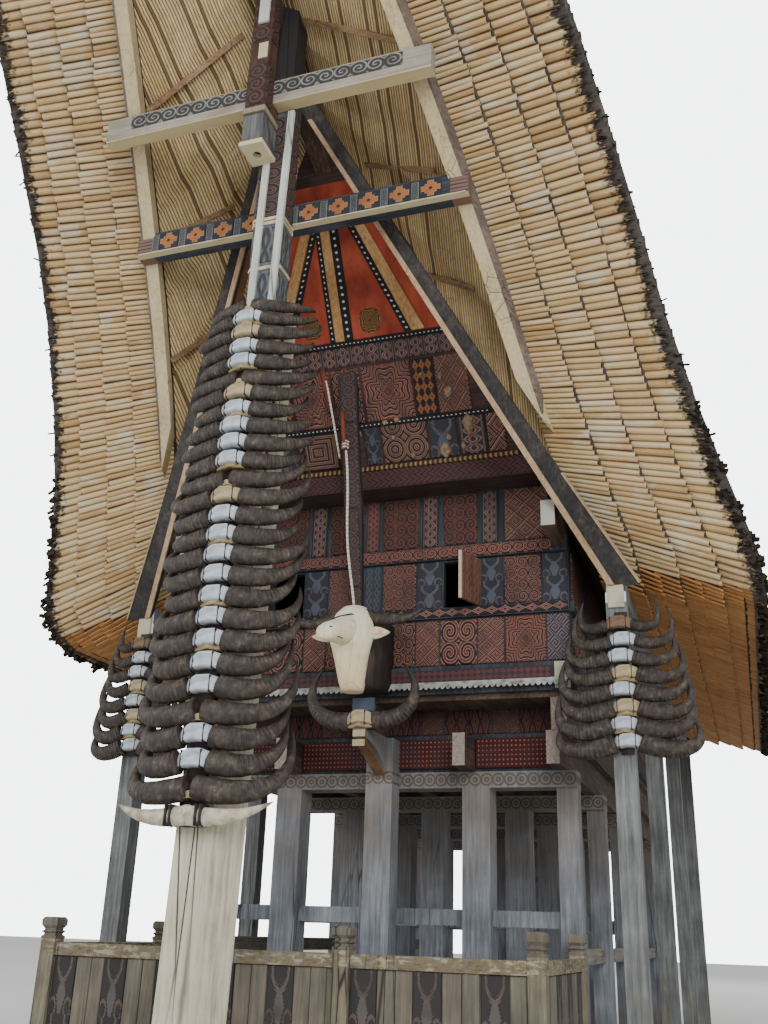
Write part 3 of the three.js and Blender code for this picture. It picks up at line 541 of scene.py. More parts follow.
def on_hand(hand, low, high):
    """A span on the right of the middle, or the same one on its left."""
    return sorted((hand * low, hand * high))


for side, name in ENDS:
    boards = Stock()
    floor_edge, apron = upright(side, 3.54), upright(side, 3.565)
    for hand in (-1, 1):
        x = 0.08
        for finish, width, cells in (
            (leaves, 0.3, (3, 1)), (zigzags, 0.2, (2, 3)), (leaves, 0.22, (2, 1)), (leaves, 0.2, (2, 1)),
            (zigzags, 0.24, (2, 3)), (leaves, 0.32, (3, 1)),
        ):
            panel(boards, floor_edge, on_hand(hand, x, x + width), (2.795, 3.005), finish, cells)
            x += width + 0.014
        for low_x, high_x in ((0.085, 0.775), (0.905, 1.6)):
            panel(boards, apron, on_hand(hand, low_x, high_x), (2.49, 2.75), beads, (18, 6), 0.01)
    boards.make(name + "_apron_boards", smooth=False)

# Walls
# The walls are frames of posts and rails filled with boards. Every board and rail is cut with an old
# pattern and painted in red, cream and blue grey on black, now dull. The metal strip sheds rain.
dress(
    bare_wood("wall_frame", "z", (24, 24, 27), (46, 49, 55), (78, 80, 84), 0.4, 0.004),
    "front_right_apron", "front_left_apron", "rear_right_apron", "rear_left_apron",
    "front_wall", "rear_wall", "left_wall", "right_wall",
)
spirals = carved("carved_spirals", spiral, red, edge=(140, 108, 94), worn=0.6)
flowers = carved("carved_flowers", flower, (84, 46, 40), (34, 30, 32), (98, 66, 54), 0.7)
keys = carved("carved_keys", meander, (104, 54, 46))
blue_keys = carved("carved_blue_keys", meander, (84, 92, 106), (44, 34, 38), (120, 88, 82))
braids = carved("carved_braids", braid, (104, 54, 48), (38, 44, 48), (116, 110, 102))
buffaloes = carved("carved_buffaloes", buffalo, (72, 80, 92), (42, 46, 54), (94, 80, 80), 0.5)
suns = carved("carved_suns", sun, (106, 54, 46), edge=(140, 106, 92), worn=0.6)
blue_boards = carved("blue_boards", braid, (58, 66, 78), (44, 50, 60), (82, 76, 80), 0.4)
red_boards = carved("red_boards", braid, (96, 60, 56), (66, 42, 42), (116, 82, 74), 0.4)
scrolls = carved("carved_scrolls", spiral, (104, 48, 42), edge=(148, 112, 98), worn=0.45)
plaits = carved("carved_plaits", plait, (112, 56, 48), edge=(140, 118, 104), worn=0.4)
small_crosses = carved("carved_small_crosses", cross, (98, 52, 50), (48, 46, 54), (72, 58, 62), 0.6)
pale_block = carved("pale_block", plain, (178, 172, 150), (160, 152, 130), (178, 172, 150), 0.35)


def mirrored(row):
    """A row of boards on the right of the middle, and the same on its left."""
    return [*row, *((-high, -low, finish, cells) for low, high, finish, cells in row)]


WALL_FACE, RAIL_FACE = 3.95, 3.99
SIDE_FACE, SIDE_RAIL_FACE = 1.85, 1.89
SILL, LOWER_BOARDS, MOULDING = (3.12, 3.285), (3.335, 3.75), (3.775, 3.85)
WINDOWS, SPIRAL_RAIL, UPPER_BOARDS = (3.87, 4.32), (4.34, 4.45), (4.475, 4.985)
WINDOW_ROW = [
    (0.115, 0.431, spirals, (3, 4)), (0.45, 0.685, buffaloes, (1, 2)), (1.045, 1.256, buffaloes, (1, 2)),
    (1.275, 1.602, spirals, (3, 4)), (1.62, 1.84, buffaloes, (1, 2)),
]
UPPER_ROW = [
    (0.1, 0.446, flowers, (3, 4)), (0.486, 0.645, braids, (1, 3)), (0.695, 1.017, flowers, (3, 4)),
    (1.065, 1.218, braids, (1, 3)), (1.284, 1.69, keys, (3, 4)),
]
LOWER_ROW = [
    (0.219, 0.431, spirals, (2, 3)), (0.441, 0.659, keys, (2, 4)), (0.678, 1.013, spirals, (2, 2)),
    (1.023, 1.26, keys, (2, 4)), (1.278, 1.634, suns, (1, 1)), (1.645, 1.84, blue_keys, (2, 4)),
]
for side, name in ENDS:
    boards = Stock()
    wall, rail = upright(side, WALL_FACE), upright(side, RAIL_FACE)
    middle = [(-0.07, 0.095, blue_boards, (2, 3))]
    shut = [] if side < 0 else mirrored([(0.705, 1.025, keys, (2, 3))])
    for row, heights in (
        (mirrored(WINDOW_ROW) + middle + shut, WINDOWS),
        (mirrored(UPPER_ROW) + [(-0.076, 0.058, red_boards, (1, 4))], UPPER_BOARDS),
        (mirrored(LOWER_ROW) + [(-0.2, 0.2, blue_keys, (3, 4))] * (side > 0), LOWER_BOARDS),
    ):
        for low_x, high_x, finish, cells in row:
            panel(boards, wall, (low_x, high_x), heights, finish, cells)
    panel(boards, rail, (-1.68, 1.68), SILL, small_crosses, (60, 3), 0.008)
    panel(boards, rail, (-1.84, 1.84), MOULDING, plaits, (30, 1), 0.01)
    panel(boards, rail, (-1.72, 1.72), SPIRAL_RAIL, scrolls, (29, 1), 0.01)
    for x in (-1.775, 1.775):
        panel(boards, rail, (x - 0.065, x + 0.065), (3.08, 3.31), pale_block, proud=0.03)
    boards.make(name + "_wall_boards", smooth=False)
for side, name in ((-1, "left"), (1, "right")):
    boards = Stock()
    wall = lambda y, z, proud: (side * (SIDE_FACE + proud), -side * y, z)
    rail = lambda y, z, proud: (side * (SIDE_RAIL_FACE + proud), -side * y, z)
    y = -3.84
    for _ in range(6):
        for finish, width, cells in (
            (spirals, 0.34, (3, 4)), (buffaloes, 0.22, (1, 2)), (suns, 0.4, (1, 1)), (keys, 0.24, (2, 4)),
        ):
            panel(boards, wall, (y, y + width), (3.875, 4.355), finish, cells)
            lower = keys if finish is suns else finish
            panel(boards, wall, (y, y + width), LOWER_BOARDS, lower, cells)
            y += width + 0.02
    panel(boards, rail, (-3.9, 3.9), SILL, small_crosses, (136, 3), 0.008)
    panel(boards, rail, (-3.9, 3.9), MOULDING, plaits, (63, 1), 0.01)
    boards.make(name + "_wall_boards", smooth=False)

paint, relief = wooden("shutter_wood", "z", (48, 34, 28), (88, 64, 52), (124, 98, 80), 0.3)
cuts = braid((paint.y + paint.x) * 6.5, paint.z * 6.2).between(0.35, 0.55)
paint.coat(cuts * 0.5, (126, 84, 66))
free_edge = abs(paint.y) > 4.252
paint.coat(free_edge, (184, 172, 148))
dress(paint.done(cuts + relief * 0.4, 0.005), "front_left_shutter", "front_right_shutter")

paint = Finish("metal_strip", 0.5)
paint.colour = paint.ramp(paint.noise(14, detail=5.0), [
    (0.32, (104, 102, 96)), (0.5, (158, 160, 156)), (0.7, (182, 184, 180)),
])
metal_strip = paint.done(paint.noise(30), 0.001)
SCALLOP = 0.05
SCALLOPS = 74
SCALLOP_STEPS = 5
for side, name in ENDS:
    strip = Stock()
    rings = []
    for i in range(SCALLOPS * SCALLOP_STEPS + 1):
        x = -SIDE_FACE + SCALLOP * i / SCALLOP_STEPS
        low_z = 3.128 - 0.03 * abs(math.sin(math.pi * i / SCALLOP_STEPS))
        low_reach = 4.0 + (3.175 - low_z) * 0.7
        rings.append([
            (x, side * 3.991, 3.178), (x, side * 3.996, 3.18),
            (x, side * (low_reach + 0.003), low_z), (x, side * low_reach, low_z),
        ])
    strip.skin(rings, metal_strip)
    strip.make(name + "_metal_strip", smooth=False)

# Gables
# The gable stands on a beam over the wall and leans out towards the prow. Its boards are carved below
# and painted red above, with battens over the joints, black studded strips and two turned roses. Old
# nests of dried mud cling to the front one.
dress(
    bare_wood("gable_frame", "x", (28, 22, 22), (54, 40, 38), (86, 64, 56), 0.4, 0.004),
    "front_gable", "rear_gable",
)


GABLE_LEAN = 0.6
PROUD_OUT, PROUD_DOWN = 0.857, 0.514


def lean_to(side, reach, foot):
    """Places on a plane that leans out as the gable does, from its foot upwards."""
    def place(x, z, proud):
        out = reach + GABLE_LEAN * (z - foot) + PROUD_OUT * proud
        return -side * x, side * out, z - PROUD_DOWN * proud

    return place


fine_keys = carved("carved_fine_keys", zigzag, (72, 34, 34), edge=(84, 58, 54))
fringe = carved("straw_fringe", tick, (142, 112, 68), (48, 36, 28), (104, 78, 50), 0.35)
orange_crosses = carved("carved_orange_crosses", cross, (128, 82, 48), edge=(96, 58, 44), worn=0.6)
rings_red = carved("carved_circles", circles, (98, 62, 50), edge=(124, 102, 86), worn=0.6)
squares_red = carved("carved_squares", squares, (96, 58, 46), edge=(124, 100, 84), worn=0.6)
studded = carved("studded_strips", bead, (188, 186, 176), (26, 25, 28), (60, 58, 58), 0.2)
roses = carved("turned_roses", sun, (140, 104, 58), (52, 32, 26), (108, 72, 44), 0.3)
paint = Finish("red_field")
grime = paint.noise(5, (1, 1, 0.3), 5.0)
paint.colour = paint.ramp(grime, [(0.3, (112, 46, 34)), (0.5, (148, 62, 44)), (0.72, (168, 84, 60))])
paint.coat(paint.noise(40, GRAIN["z"]).between(0.55, 0.75) * 0.4, (110, 46, 34))
red_field = paint.done(grime, 0.002)
tan_batten = bare_wood("tan_batten", "z", (110, 76, 48), (168, 128, 84), (204, 172, 126), 0.3, 0.002)
paint = Finish("dried_mud", 0.9)
paint.colour = paint.ramp(paint.noise(30), [(0.3, (92, 76, 60)), (0.7, (150, 130, 104))])
mud = paint.done(paint.noise(60), 0.006)
LOWER_FIELD = [
    (-0.67, -0.26, squares_red, (1, 1)), (-0.95, -0.7, buffaloes, (1, 1)), (-1.2, -0.97, braids, (1, 2)),
    (-1.38, -1.22, keys, (1, 2)), (0.02, 0.17, buffaloes, (1, 2)), (0.2, 0.64, rings_red, (2, 1.5)),
    (0.66, 0.93, buffaloes, (1, 1)), (0.95, 1.2, braids, (1, 2)), (1.22, 1.38, keys, (1, 2)),
]
UPPER_FIELD = [
    (-0.9, -0.66, orange_crosses, (3, 5)), (-0.64, -0.25, suns, (1, 1)), (-1.1, -0.92, keys, (2, 4)),
    (0.08, 0.56, suns, (1, 1)), (0.58, 0.78, orange_crosses, (3, 5)), (0.8, 1.1, keys, (3, 4)),
    (-0.22, 0.05, spirals, (2, 4)),
]
BEAM_BOARDS, FRINGE = (5.01, 5.185), (5.188, 5.228)
LOWER_HEIGHTS, UPPER_HEIGHTS, BRAID_HEIGHTS = (5.26, 5.56), (5.61, 6.06), (6.085, 6.235)
LOWER_STUDS, UPPER_STUDS = (5.565, 5.605), (6.24, 6.28)
ROSES = ((-0.344, 6.42, 0.1), (0.242, 6.42, 0.11))
RED_FOOT, RED_TOP = 6.285, 7.53
RED_OUTLINE = [(-0.96, RED_FOOT), (0.96, RED_FOOT), (0.3, RED_TOP), (-0.3, RED_TOP)]
MUD_NESTS = [
    (0.8, 5.31, 0.055, 0.06), (0.85, 5.41, 0.025, 0.03), (1.05, 5.5, 0.05, 0.085), (0.98, 5.33, 0.025, 0.03),
    (0.9, 5.77, 0.04, 0.045), (0.84, 5.9, 0.022, 0.03), (0.48, 5.3, 0.022, 0.025), (0.25, 5.59, 0.03, 0.022),
    (0.37, 5.6, 0.03, 0.024), (0.31, 5.46, 0.02, 0.02), (-0.02, 5.52, 0.022, 0.03), (0.66, 5.93, 0.024, 0.02),
]
for side, name in ENDS:
    boards = Stock()
    field = lean_to(side, 4.23, 5.23)
    beam = upright(side, 4.25)
    panel(boards, beam, (-1.6, 1.6), BEAM_BOARDS, fine_keys, (26, 2), 0.01)
    panel(boards, beam, (-1.5, 1.5), FRINGE, fringe, (62, 1), 0.025)
    for row, heights in (
        (LOWER_FIELD, LOWER_HEIGHTS), (UPPER_FIELD, UPPER_HEIGHTS),
        ([(-1.02, 1.02, braids, (14, 1))], BRAID_HEIGHTS),
    ):
        for low_x, high_x, finish, cells in row:
            panel(boards, field, (low_x, high_x), heights, finish, cells)
    panel(boards, field, (-1.27, 1.27), LOWER_STUDS, studded, (60, 1), 0.02)
    panel(boards, field, (-0.98, 0.98), UPPER_STUDS, studded, (48, 1), 0.022)
    board(boards, field, RED_OUTLINE, red_field, proud=0.008)
    for low_x, high_x, finish, cells, proud in (
        (-0.12, -0.03, tan_batten, (1, 1), 0.03), (-0.175, -0.12, studded, (1, 22), 0.022),
        (-0.03, 0.055, studded, (1, 18), 0.022),
    ):
        panel(boards, field, (low_x, high_x), (RED_FOOT, 7.3), finish, cells, proud)
    for hand in (-1, 1):
        for low_x, width, finish, proud in (
            (0.64, 0.12, tan_batten, 0.03), (0.57, 0.07, studded, 0.022),
        ):
            foot, top = hand * low_x, hand * (low_x - 0.43)
            wide = hand * width
            corners = [(foot, 6.29), (foot + wide, 6.29), (top + wide * 0.75, 7.2), (top, 7.2)]
            board(boards, field, corners, finish, (1, 20), proud)
    for x, z, size in ROSES:
        corners = [(x + size * math.cos(turn), z + size * math.sin(turn)) for turn in turns(20)]
        board(boards, field, corners, roses, (1, 1), 0.016)
    for x, z, wide, tall in MUD_NESTS if side < 0 else ():
        rings = []
        for size, lift in ((1.0, 0.012), (0.85, 0.028), (0.45, 0.038)):
            rings.append([
                field(
                    x + size * wide * (1 + 0.2 * math.sin(3 * k + 40 * x)) * math.cos(turn),
                    z + size * tall * (1 + 0.2 * math.sin(2 * k + 30 * z)) * math.sin(turn), lift,
                ) for k, turn in enumerate(turns(12))
            ])
        boards.skin(rings, mud)
    boards.make(name + "_gable_boards", smooth=False)

# Leaning post and ropes
# A carved post stands on the neck of the buffalo head and leans on the gable. An old white rope with
# dark bands is held taut in front of it, tied to a red stick above and to the head below.
# The post is given by its height, how far its front stands out, and half its width.
LEANING_POST = [
    (3.64, 4.18, 0.052), (4.04, 4.232, 0.052), (4.75, 4.405, 0.085), (5.55, 4.6, 0.078),
    (6.04, 4.724, 0.095),
]
LEANING_X = -0.055
post_heights, post_reaches, _ = zip(*LEANING_POST)
post_front = lambda x, z, proud: (x, -np.interp(z, post_heights, post_reaches) - proud, z)
chain = carved("carved_chain", spiral, (76, 42, 40), (34, 38, 42), (88, 78, 74), 0.5)
dress(carved("leaning_post_wood", plain, (46, 42, 44), (36, 34, 36), (46, 42, 44)), "leaning_centre_post")
post_boards = Stock()
for (low_z, _, low_half), (high_z, _, high_half) in zip(LEANING_POST, LEANING_POST[1:]):
    half = min(low_half, high_half) - 0.008
    low_z = max(low_z, 3.8)
    links = max(round((high_z - low_z) / 0.11), 1)
    width, height = (LEANING_X - half, LEANING_X + half), (low_z + 0.004, high_z - 0.004)
    panel(post_boards, post_front, width, height, chain, (1, links), 0.008)
post_boards.make("leaning_post_boards", smooth=False)

paint = Finish("old_rope", 0.8)
strand = (paint.attribute("grade") * 26 + paint.noise(9) * 0.3) % 1.0
paint.colour = paint.mix((strand > 0.84) * 0.75, (206, 200, 186), (92, 78, 66))
paint.coat(paint.noise(30).between(0.45, 0.7) * 0.4, (150, 140, 120))
rope = paint.done((paint.attribute("grade") * 120).math("SINE"), 0.002)
red_stick = bare_wood("red_stick", "z", (78, 36, 28), (116, 54, 42), (140, 78, 58), 0.3, 0.002)
KNOT_X, KNOT_Y, KNOT_RADIUS = -0.088, -4.592, 0.026
ROPE_STEPS = 30
ropes = Stock()
curve = []
for i in range(ROPE_STEPS + 1):
    u = i / ROPE_STEPS
    curve.append((
        -0.085 + 0.13 * u + 0.012 * math.sin(u * 7.5), -4.585 + 0.03 * u - 0.035 * math.sin(u * math.pi),
        5.3 - 1.545 * u,
    ))
ropes.tube(curve, 0.0115, rope)
ropes.tube([(-0.11, -4.66, 5.64), (-0.1, -4.64, 5.46), (-0.085, -4.585, 5.27)], 0.018, red_stick)
for z in (5.3, 5.33, 5.36):
    ropes.tube([
        (KNOT_X + KNOT_RADIUS * math.cos(turn), KNOT_Y + KNOT_RADIUS * math.sin(turn), z)
        for turn in turns(12)
    ], 0.009, rope, 6)
beside = [(-0.27, -4.72, 5.97), (-0.255, -4.705, 5.9), (-0.21, -4.6, 5.55), (-0.175, -4.5, 5.24)]
ropes.tube(beside, 0.01, rope)
ropes.bar((-0.31, -4.762, 6.1), (-0.255, -4.6, 5.71), 0.045, 0.03, red_stick)
ropes.make("taut_ropes")

# Barge rafters
# Flat blue black boards stand in front of the gable, edge to edge with the roof. A tan lath runs down
# their inner edge, and a brown board closes the gap behind it.
paint, relief = wooden("blue_black", "z", (27, 26, 26), (50, 48, 48), (82, 78, 75), 0.5)
paint.coat(paint.noise(8, detail=5.0).between(0.5, 0.72) * 0.6, (92, 80, 68))
blue_black = paint.done(relief, 0.004)
brown_board = bare_wood("brown_board", "z", (62, 44, 32), (112, 84, 60), (150, 120, 88), 0.4)
lath_tan = bare_wood("lath_tan", "z", (120, 98, 74), (170, 142, 112), (200, 178, 150), 0.5)
BARGE_FOOT, BARGE_TIP = 3.88, 7.8
BARGE_HEIGHTS = (BARGE_FOOT, 4.8, 5.8, 6.8, BARGE_TIP)
BARGE_WIDTHS = (0.26, 0.2, 0.165, 0.15, 0.15)


def inner_edge(z):
    """Where the barge boards start beside the gable, at a height."""
    return 2.23 * (BARGE_TIP - z) / 3.92


def outer_edge(z):
    return inner_edge(z) + np.interp(z, BARGE_HEIGHTS, BARGE_WIDTHS)


def strip_along(stock, place, heights, outline, finish):
    """A strip that follows the barge boards. Each corner of its outline has an edge that it
    follows, and how far it is across and out from there."""
    stock.skin([
        [place(edge(z) + beyond, z, out) for edge, beyond, out in outline] for z in heights
    ], finish)


BARGE_OUTLINE = ((inner_edge, 0, 0), (outer_edge, 0, 0), (outer_edge, 0, -0.06), (inner_edge, 0, -0.06))
CLOSING_OUTLINE = [(inner_edge, *spot) for spot in ((0, -0.055), (0.035, -0.055), (0.035, -0.2), (0, -0.2))]
LATH_OUTLINE = [
    (outer_edge, *spot) for spot in ((-0.004, 0.006), (0.01, 0.006), (0.01, -0.07), (-0.004, -0.07))
]
for side, name in ENDS:
    barge = Stock()
    face = lean_to(side, 4.19, BARGE_FOOT)
    for hand in (-1, 1):
        on_hand_side = lambda x, z, out: face(hand * x, z, out)
        strip_along(barge, on_hand_side, np.linspace(3.885, 7.78, 12), BARGE_OUTLINE, blue_black)
        lath = [
            (hand * (inner_edge(z) + beyond), z)
            for beyond, z in ((0.002, 3.9), (0.055, 3.9), (0.042, 7.55), (0.002, 7.55))
        ]
        board(barge, face, lath, lath_tan, proud=0.024)
        strip_along(barge, on_hand_side, (4.15, 7.35), CLOSING_OUTLINE, brown_board)
        strip_along(barge, on_hand_side, np.linspace(3.9, 4.75, 4), LATH_OUTLINE, lath_tan)
    made = barge.make(name + "_barge_boards", smooth=False)
    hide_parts(name + "_barge_rafters")
    heads = Stock()
    for hand in (-1, 1):
        width = on_hand(hand, 2.21, 2.345)
        panel(heads, upright(side, 4.17), width, (3.7, 3.9), pale_block, proud=0.03)
    heads.make(name + "_purlin_heads", smooth=False)

# Verge rafters
# Pale squared poles edge the reed lining from the barge rafters to the tip of the prow, with a
# weathered grey board nailed along their outer side.
dress(
    bare_wood("pale_rafters", "y", (140, 122, 90), (188, 172, 134), (208, 194, 160), 0.7, 0.004),
    "front_right_verge_rafter", "front_left_verge_rafter",
    "rear_right_verge_rafter", "rear_left_verge_rafter",
)
grey_board = bare_wood("grey_board", "y", (58, 50, 46), (102, 90, 82), (146, 132, 118), 0.8, 0.004)

# The roof's own dimensions, in mm: each row is a reach along the house, then how far out and how high.
EAVE = [
    (0, 3480, 3720), (3700, 3480, 3720), (4150, 3460, 3900), (4650, 3180, 4760), (5200, 2930, 5620),
    (5900, 2720, 6600), (6960, 2440, 7570), (8400, 1980, 8560), (9900, 1440, 9380),
]
VERGE = [
    (0, 2150, 4100), (3700, 2150, 4100), (4100, 2110, 4380), (4450, 1990, 4760), (5240, 1740, 5820),
    (5900, 1560, 6640), (7050, 1250, 7800), (8400, 860, 8900), (9900, 380, 9900),
]
STATIONS = [
    0, 1250, 2500, 3700, 3950, 4200, 4500, 4850, 5240, 5700, 6200, 6700, 7250, 7850, 8500, 9200, 9900,
]
HALF_LENGTH = 9900
RIDGE_LOW, RIDGE_LIFT = 7300, 3300
RIDGE_THICK = 330
UNDER_COURSES, COURSE_RISE = 4, 80
TOP_COURSES, TOP_STEP = 8, 25


def through(rows, reach, column):
    """A cubic through the rows of a table that never overshoots them."""
    secants = [(b[column] - a[column]) / (b[0] - a[0]) for a, b in zip(rows, rows[1:])]
    inner = [2 * a * b / (a + b) if a * b > 0 else 0 for a, b in zip(secants, secants[1:])]
    slopes = [secants[0], *inner, secants[-1]]
    i = max(next(k for k, row in enumerate(rows) if row[0] >= reach), 1) - 1
    span = rows[i + 1][0] - rows[i][0]
    u = (reach - rows[i][0]) / span
    return (
        rows[i][column] * (2 * u**3 - 3 * u**2 + 1) + slopes[i] * span * (u**3 - 2 * u**2 + u)
        + rows[i + 1][column] * (3 * u**2 - 2 * u**3) + slopes[i + 1] * span * (u**3 - u**2)
    )


def half_section(reach):
    """Half a section of the roof: ridge underside, verge, stepped courses, eave, top, ridge."""
    eave_x, eave_z = (through(EAVE, reach, column) for column in (1, 2))
    verge_x, verge_z = (through(VERGE, reach, column) for column in (1, 2))
    ridge = RIDGE_LOW + RIDGE_LIFT * (reach / HALF_LENGTH) ** 2.2
    fall = (verge_z - eave_z + (UNDER_COURSES - 1) * COURSE_RISE) / UNDER_COURSES
    points = [(0, ridge - RIDGE_THICK), (verge_x, verge_z)]
    for course in range(1, UNDER_COURSES + 1):
        x = verge_x + (eave_x - verge_x) * course / UNDER_COURSES
        z = points[-1][1] - fall
        points.append((x, z))
        if course < UNDER_COURSES:
            points.append((x, z + COURSE_RISE))
    top = eave_z + 140
    waist = top + (ridge - top) * 0.37
    points.append((eave_x, top))
    for course in range(1, TOP_COURSES + 1):
        x = eave_x + (150 - eave_x) * course / TOP_COURSES
        z = np.interp(x, (0, 0.55 * eave_x, eave_x), (ridge, waist, top))
        points += [(x, z - TOP_STEP), (x, z + TOP_STEP)]
    points.append((0, ridge))
    return points


SECTIONS = np.array([half_section(reach) for reach in STATIONS]) / 1000
TANGENT_STEP = 0.03
LAST_REACH = 9.89


def section(y):
    """The half section at a place along the house, in metres."""
    reach = min(abs(y) * 1000, HALF_LENGTH)
    flat = SECTIONS.reshape(len(STATIONS), -1)
    return np.array([np.interp(reach, STATIONS, column) for column in flat.T]).reshape(-1, 2)


def tangent(reach, corner):
    """How far out and up a corner of the section moves for each metre along the house."""
    moved = section(reach + TANGENT_STEP) - section(reach - TANGENT_STEP)
    return moved[corner] / (2 * TANGENT_STEP)


batten_brown = bare_wood("batten_brown", "x", (86, 64, 46), (136, 108, 80), (172, 146, 116), 0.5)
VERGE_REACHES = (4.95, 5.24, 5.7, 6.2, 6.7, 7.25, 7.85, 8.5, 9.2, 9.885)
# Each batten goes from one place across and along the house to another.
OUTER_BATTENS = [((0.05, 7.8), (0.95, 7.8)), ((0.05, 8.7), (0.65, 8.7))]
LEFT_BATTENS = [((0.31, 6.86), (1.15, 6.86)), ((0.78, 5.9), (1.33, 6.08)), ((1.24, 5.3), (1.56, 5.4))]
RIGHT_BATTENS = [((0.0, 6.8), (1.16, 6.9)), ((0.45, 5.78), (1.2, 6.1)), ((0.86, 5.15), (1.36, 5.4))]
battens = Stock()
for side in (-1, 1):
    for hand, laid in ((-1, LEFT_BATTENS), (1, RIGHT_BATTENS)):
        rings = []
        for reach in VERGE_REACHES:
            x, z = section(reach)[1]
            rings.append([
                (hand * (x + out), side * reach, z + up)
                for out, up in ((-0.002, -0.214), (0.018, -0.214), (0.018, -0.02), (-0.002, -0.02))
            ])
        battens.skin(rings, grey_board)
        for ends in laid + OUTER_BATTENS:
            line = []
            for x, reach in ends:
                (_, top), (edge, low) = section(reach)[0:2]
                line.append((hand * x, side * reach, top + (low - top) * x / edge - 0.03 - 0.085 * x))
            battens.bar(*line, 0.045, 0.03, batten_brown, (0, side * 0.5, -1))
battens.make("verge_boards_and_battens", smooth=False)

# Crossbeams of the prow
# The upper one is whitewashed, with a pale running scroll on black, the lower one is blue black with
# orange crosses and a cream lower edge. Both are let into the verge rafters.
paint, relief = wooden("upper_beam", "x", (100, 96, 86), (146, 142, 130), (178, 174, 160), 0.9)
paint.coat(paint.noise(5, (0.4, 1, 1), 5.0).between(0.5, 0.7) * 0.6, (126, 118, 102))
paint.coat((1 - paint.z.between(7.2, 7.215)) * 0.7, (206, 188, 136))
dress(paint.done(relief, 0.004), "front_upper_crossbeam", "rear_upper_crossbeam")
paint, relief = wooden("lower_beam", "x", (28, 30, 36), (50, 54, 62), (86, 90, 96), 0.5)
grooved = (abs(paint.x) > 1.37) * (wave(paint.z * 27) > 0.35)
paint.coat(grooved * 0.8, (128, 96, 80))
underside = (paint.z < 6.606) * (abs(paint.y) > 6.17)
paint.coat(underside * 0.9, (206, 192, 150))
dress(paint.done(relief, 0.003), "front_lower_crossbeam", "rear_lower_crossbeam")
pale_scrolls = carved(
    "pale_scrolls", lambda u, v: spiral(u, v) - 0.22, (150, 150, 144), (58, 57, 58), (112, 110, 104), 0.7,
)
beam_crosses = carved("beam_crosses", cross, (160, 100, 58), (42, 44, 50), (150, 130, 104), 0.35)
beam_keys = carved("beam_keys", key, (112, 116, 116), (40, 44, 52), (72, 78, 84), 0.4)
cream_strip = carved("cream_strip", plain, (186, 176, 146), (170, 158, 128), (186, 176, 146), 0.4)
UPPER_BEAM_FACE, LOWER_BEAM_FACE = 6.99, 6.22
CROSS_HEIGHTS, CROSSES, CROSS_PITCH = (6.62, 6.8), 10, 0.268
for side, name in ENDS:
    boards = Stock()
    upper, lower = upright(side, UPPER_BEAM_FACE), upright(side, LOWER_BEAM_FACE)
    panel(boards, upper, (-1.2, 1.2), (7.285, 7.415), pale_scrolls, (17, 1), 0.008)
    for i in range(CROSSES):
        x = -1.34 + CROSS_PITCH * i
        panel(boards, lower, (x + 0.04, x + 0.232), CROSS_HEIGHTS, beam_crosses, (1, 1), 0.01)
        panel(boards, lower, (x - 0.03, x + 0.034), CROSS_HEIGHTS, beam_keys, (1, 3), 0.008)
    panel(boards, lower, (-1.5, 1.5), (6.602, 6.616), cream_strip, proud=0.014)
    boards.make(name + "_crossbeam_boards", smooth=False)

# Great posts and hanging block
# A six sided trunk, bleached and cracked, with a carved and painted head under the ridge beam and two
# pale laths up its front. The block hangs from the ridge beam in front of the upper crossbeam.
paint, relief = wooden("great_post", "z", (116, 106, 88), (186, 178, 156), (212, 207, 190), 1.0)
paint.coat((1 - paint.z.between(0, 0.5)) * 0.5, (132, 116, 92))
blue_paint, _ = timber(paint, "z", (46, 46, 50), (84, 88, 94), (120, 124, 126), 0.3)
paint.coat(paint.z.between(5.29, 5.3), blue_paint)
# Painted shadow: the post is dark above the upper crossbeam, in the shade under the roof.
paint.coat(paint.z.between(7.3, 7.5), (40, 37, 38))
dress(paint.done(relief, 0.008), "front_prow_post", "rear_prow_post")
paint, relief = wooden("block_wood", "z", (28, 22, 20), (62, 46, 40), (104, 72, 58), 0.4)
lip = 1 - paint.z.between(6.725, 6.735)
paint.coat(lip, (196, 184, 150))
tail = paint.z.between(6.735, 6.745) * (1 - paint.z.between(6.985, 6.995))
grey_paint = paint.ramp(relief, [(0.3, (66, 70, 74)), (0.7, (122, 126, 126))])
paint.coat(tail * 0.75, grey_paint)
collar = paint.z.between(7.005, 7.01) * (1 - paint.z.between(7.06, 7.065))
paint.coat(collar * 0.7, (150, 140, 118))
dress(paint.done(relief, 0.004), "prow_block")
pale_lath = bare_wood("pale_lath", "z", (120, 122, 116), (176, 180, 172), (202, 204, 194), 0.6)
head_scrolls = carved("head_scrolls", spiral, (78, 44, 40), (36, 35, 38), (84, 78, 76), 0.5)
head_lines = carved(
    "head_lines", lambda u, v: leaf(u, v * 0.3), (96, 98, 100), (58, 60, 64), (76, 78, 80), 0.6,
)
block_curls = carved("block_curls", spiral, (84, 58, 50), (48, 38, 36), (64, 48, 44), 0.5)
HEAD_REACH, LATH_REACH = 6.877, 6.905
HEAD_WIDTH, HEAD_DEPTH = (-0.01, 0.22), (6.695, 6.872)
SCROLL_HEIGHTS, LINE_HEIGHTS, STRIP_FEET = (6.17, 7.15), ((5.76, 6.08), (5.36, 5.66)), (5.69, 6.1, 6.14)
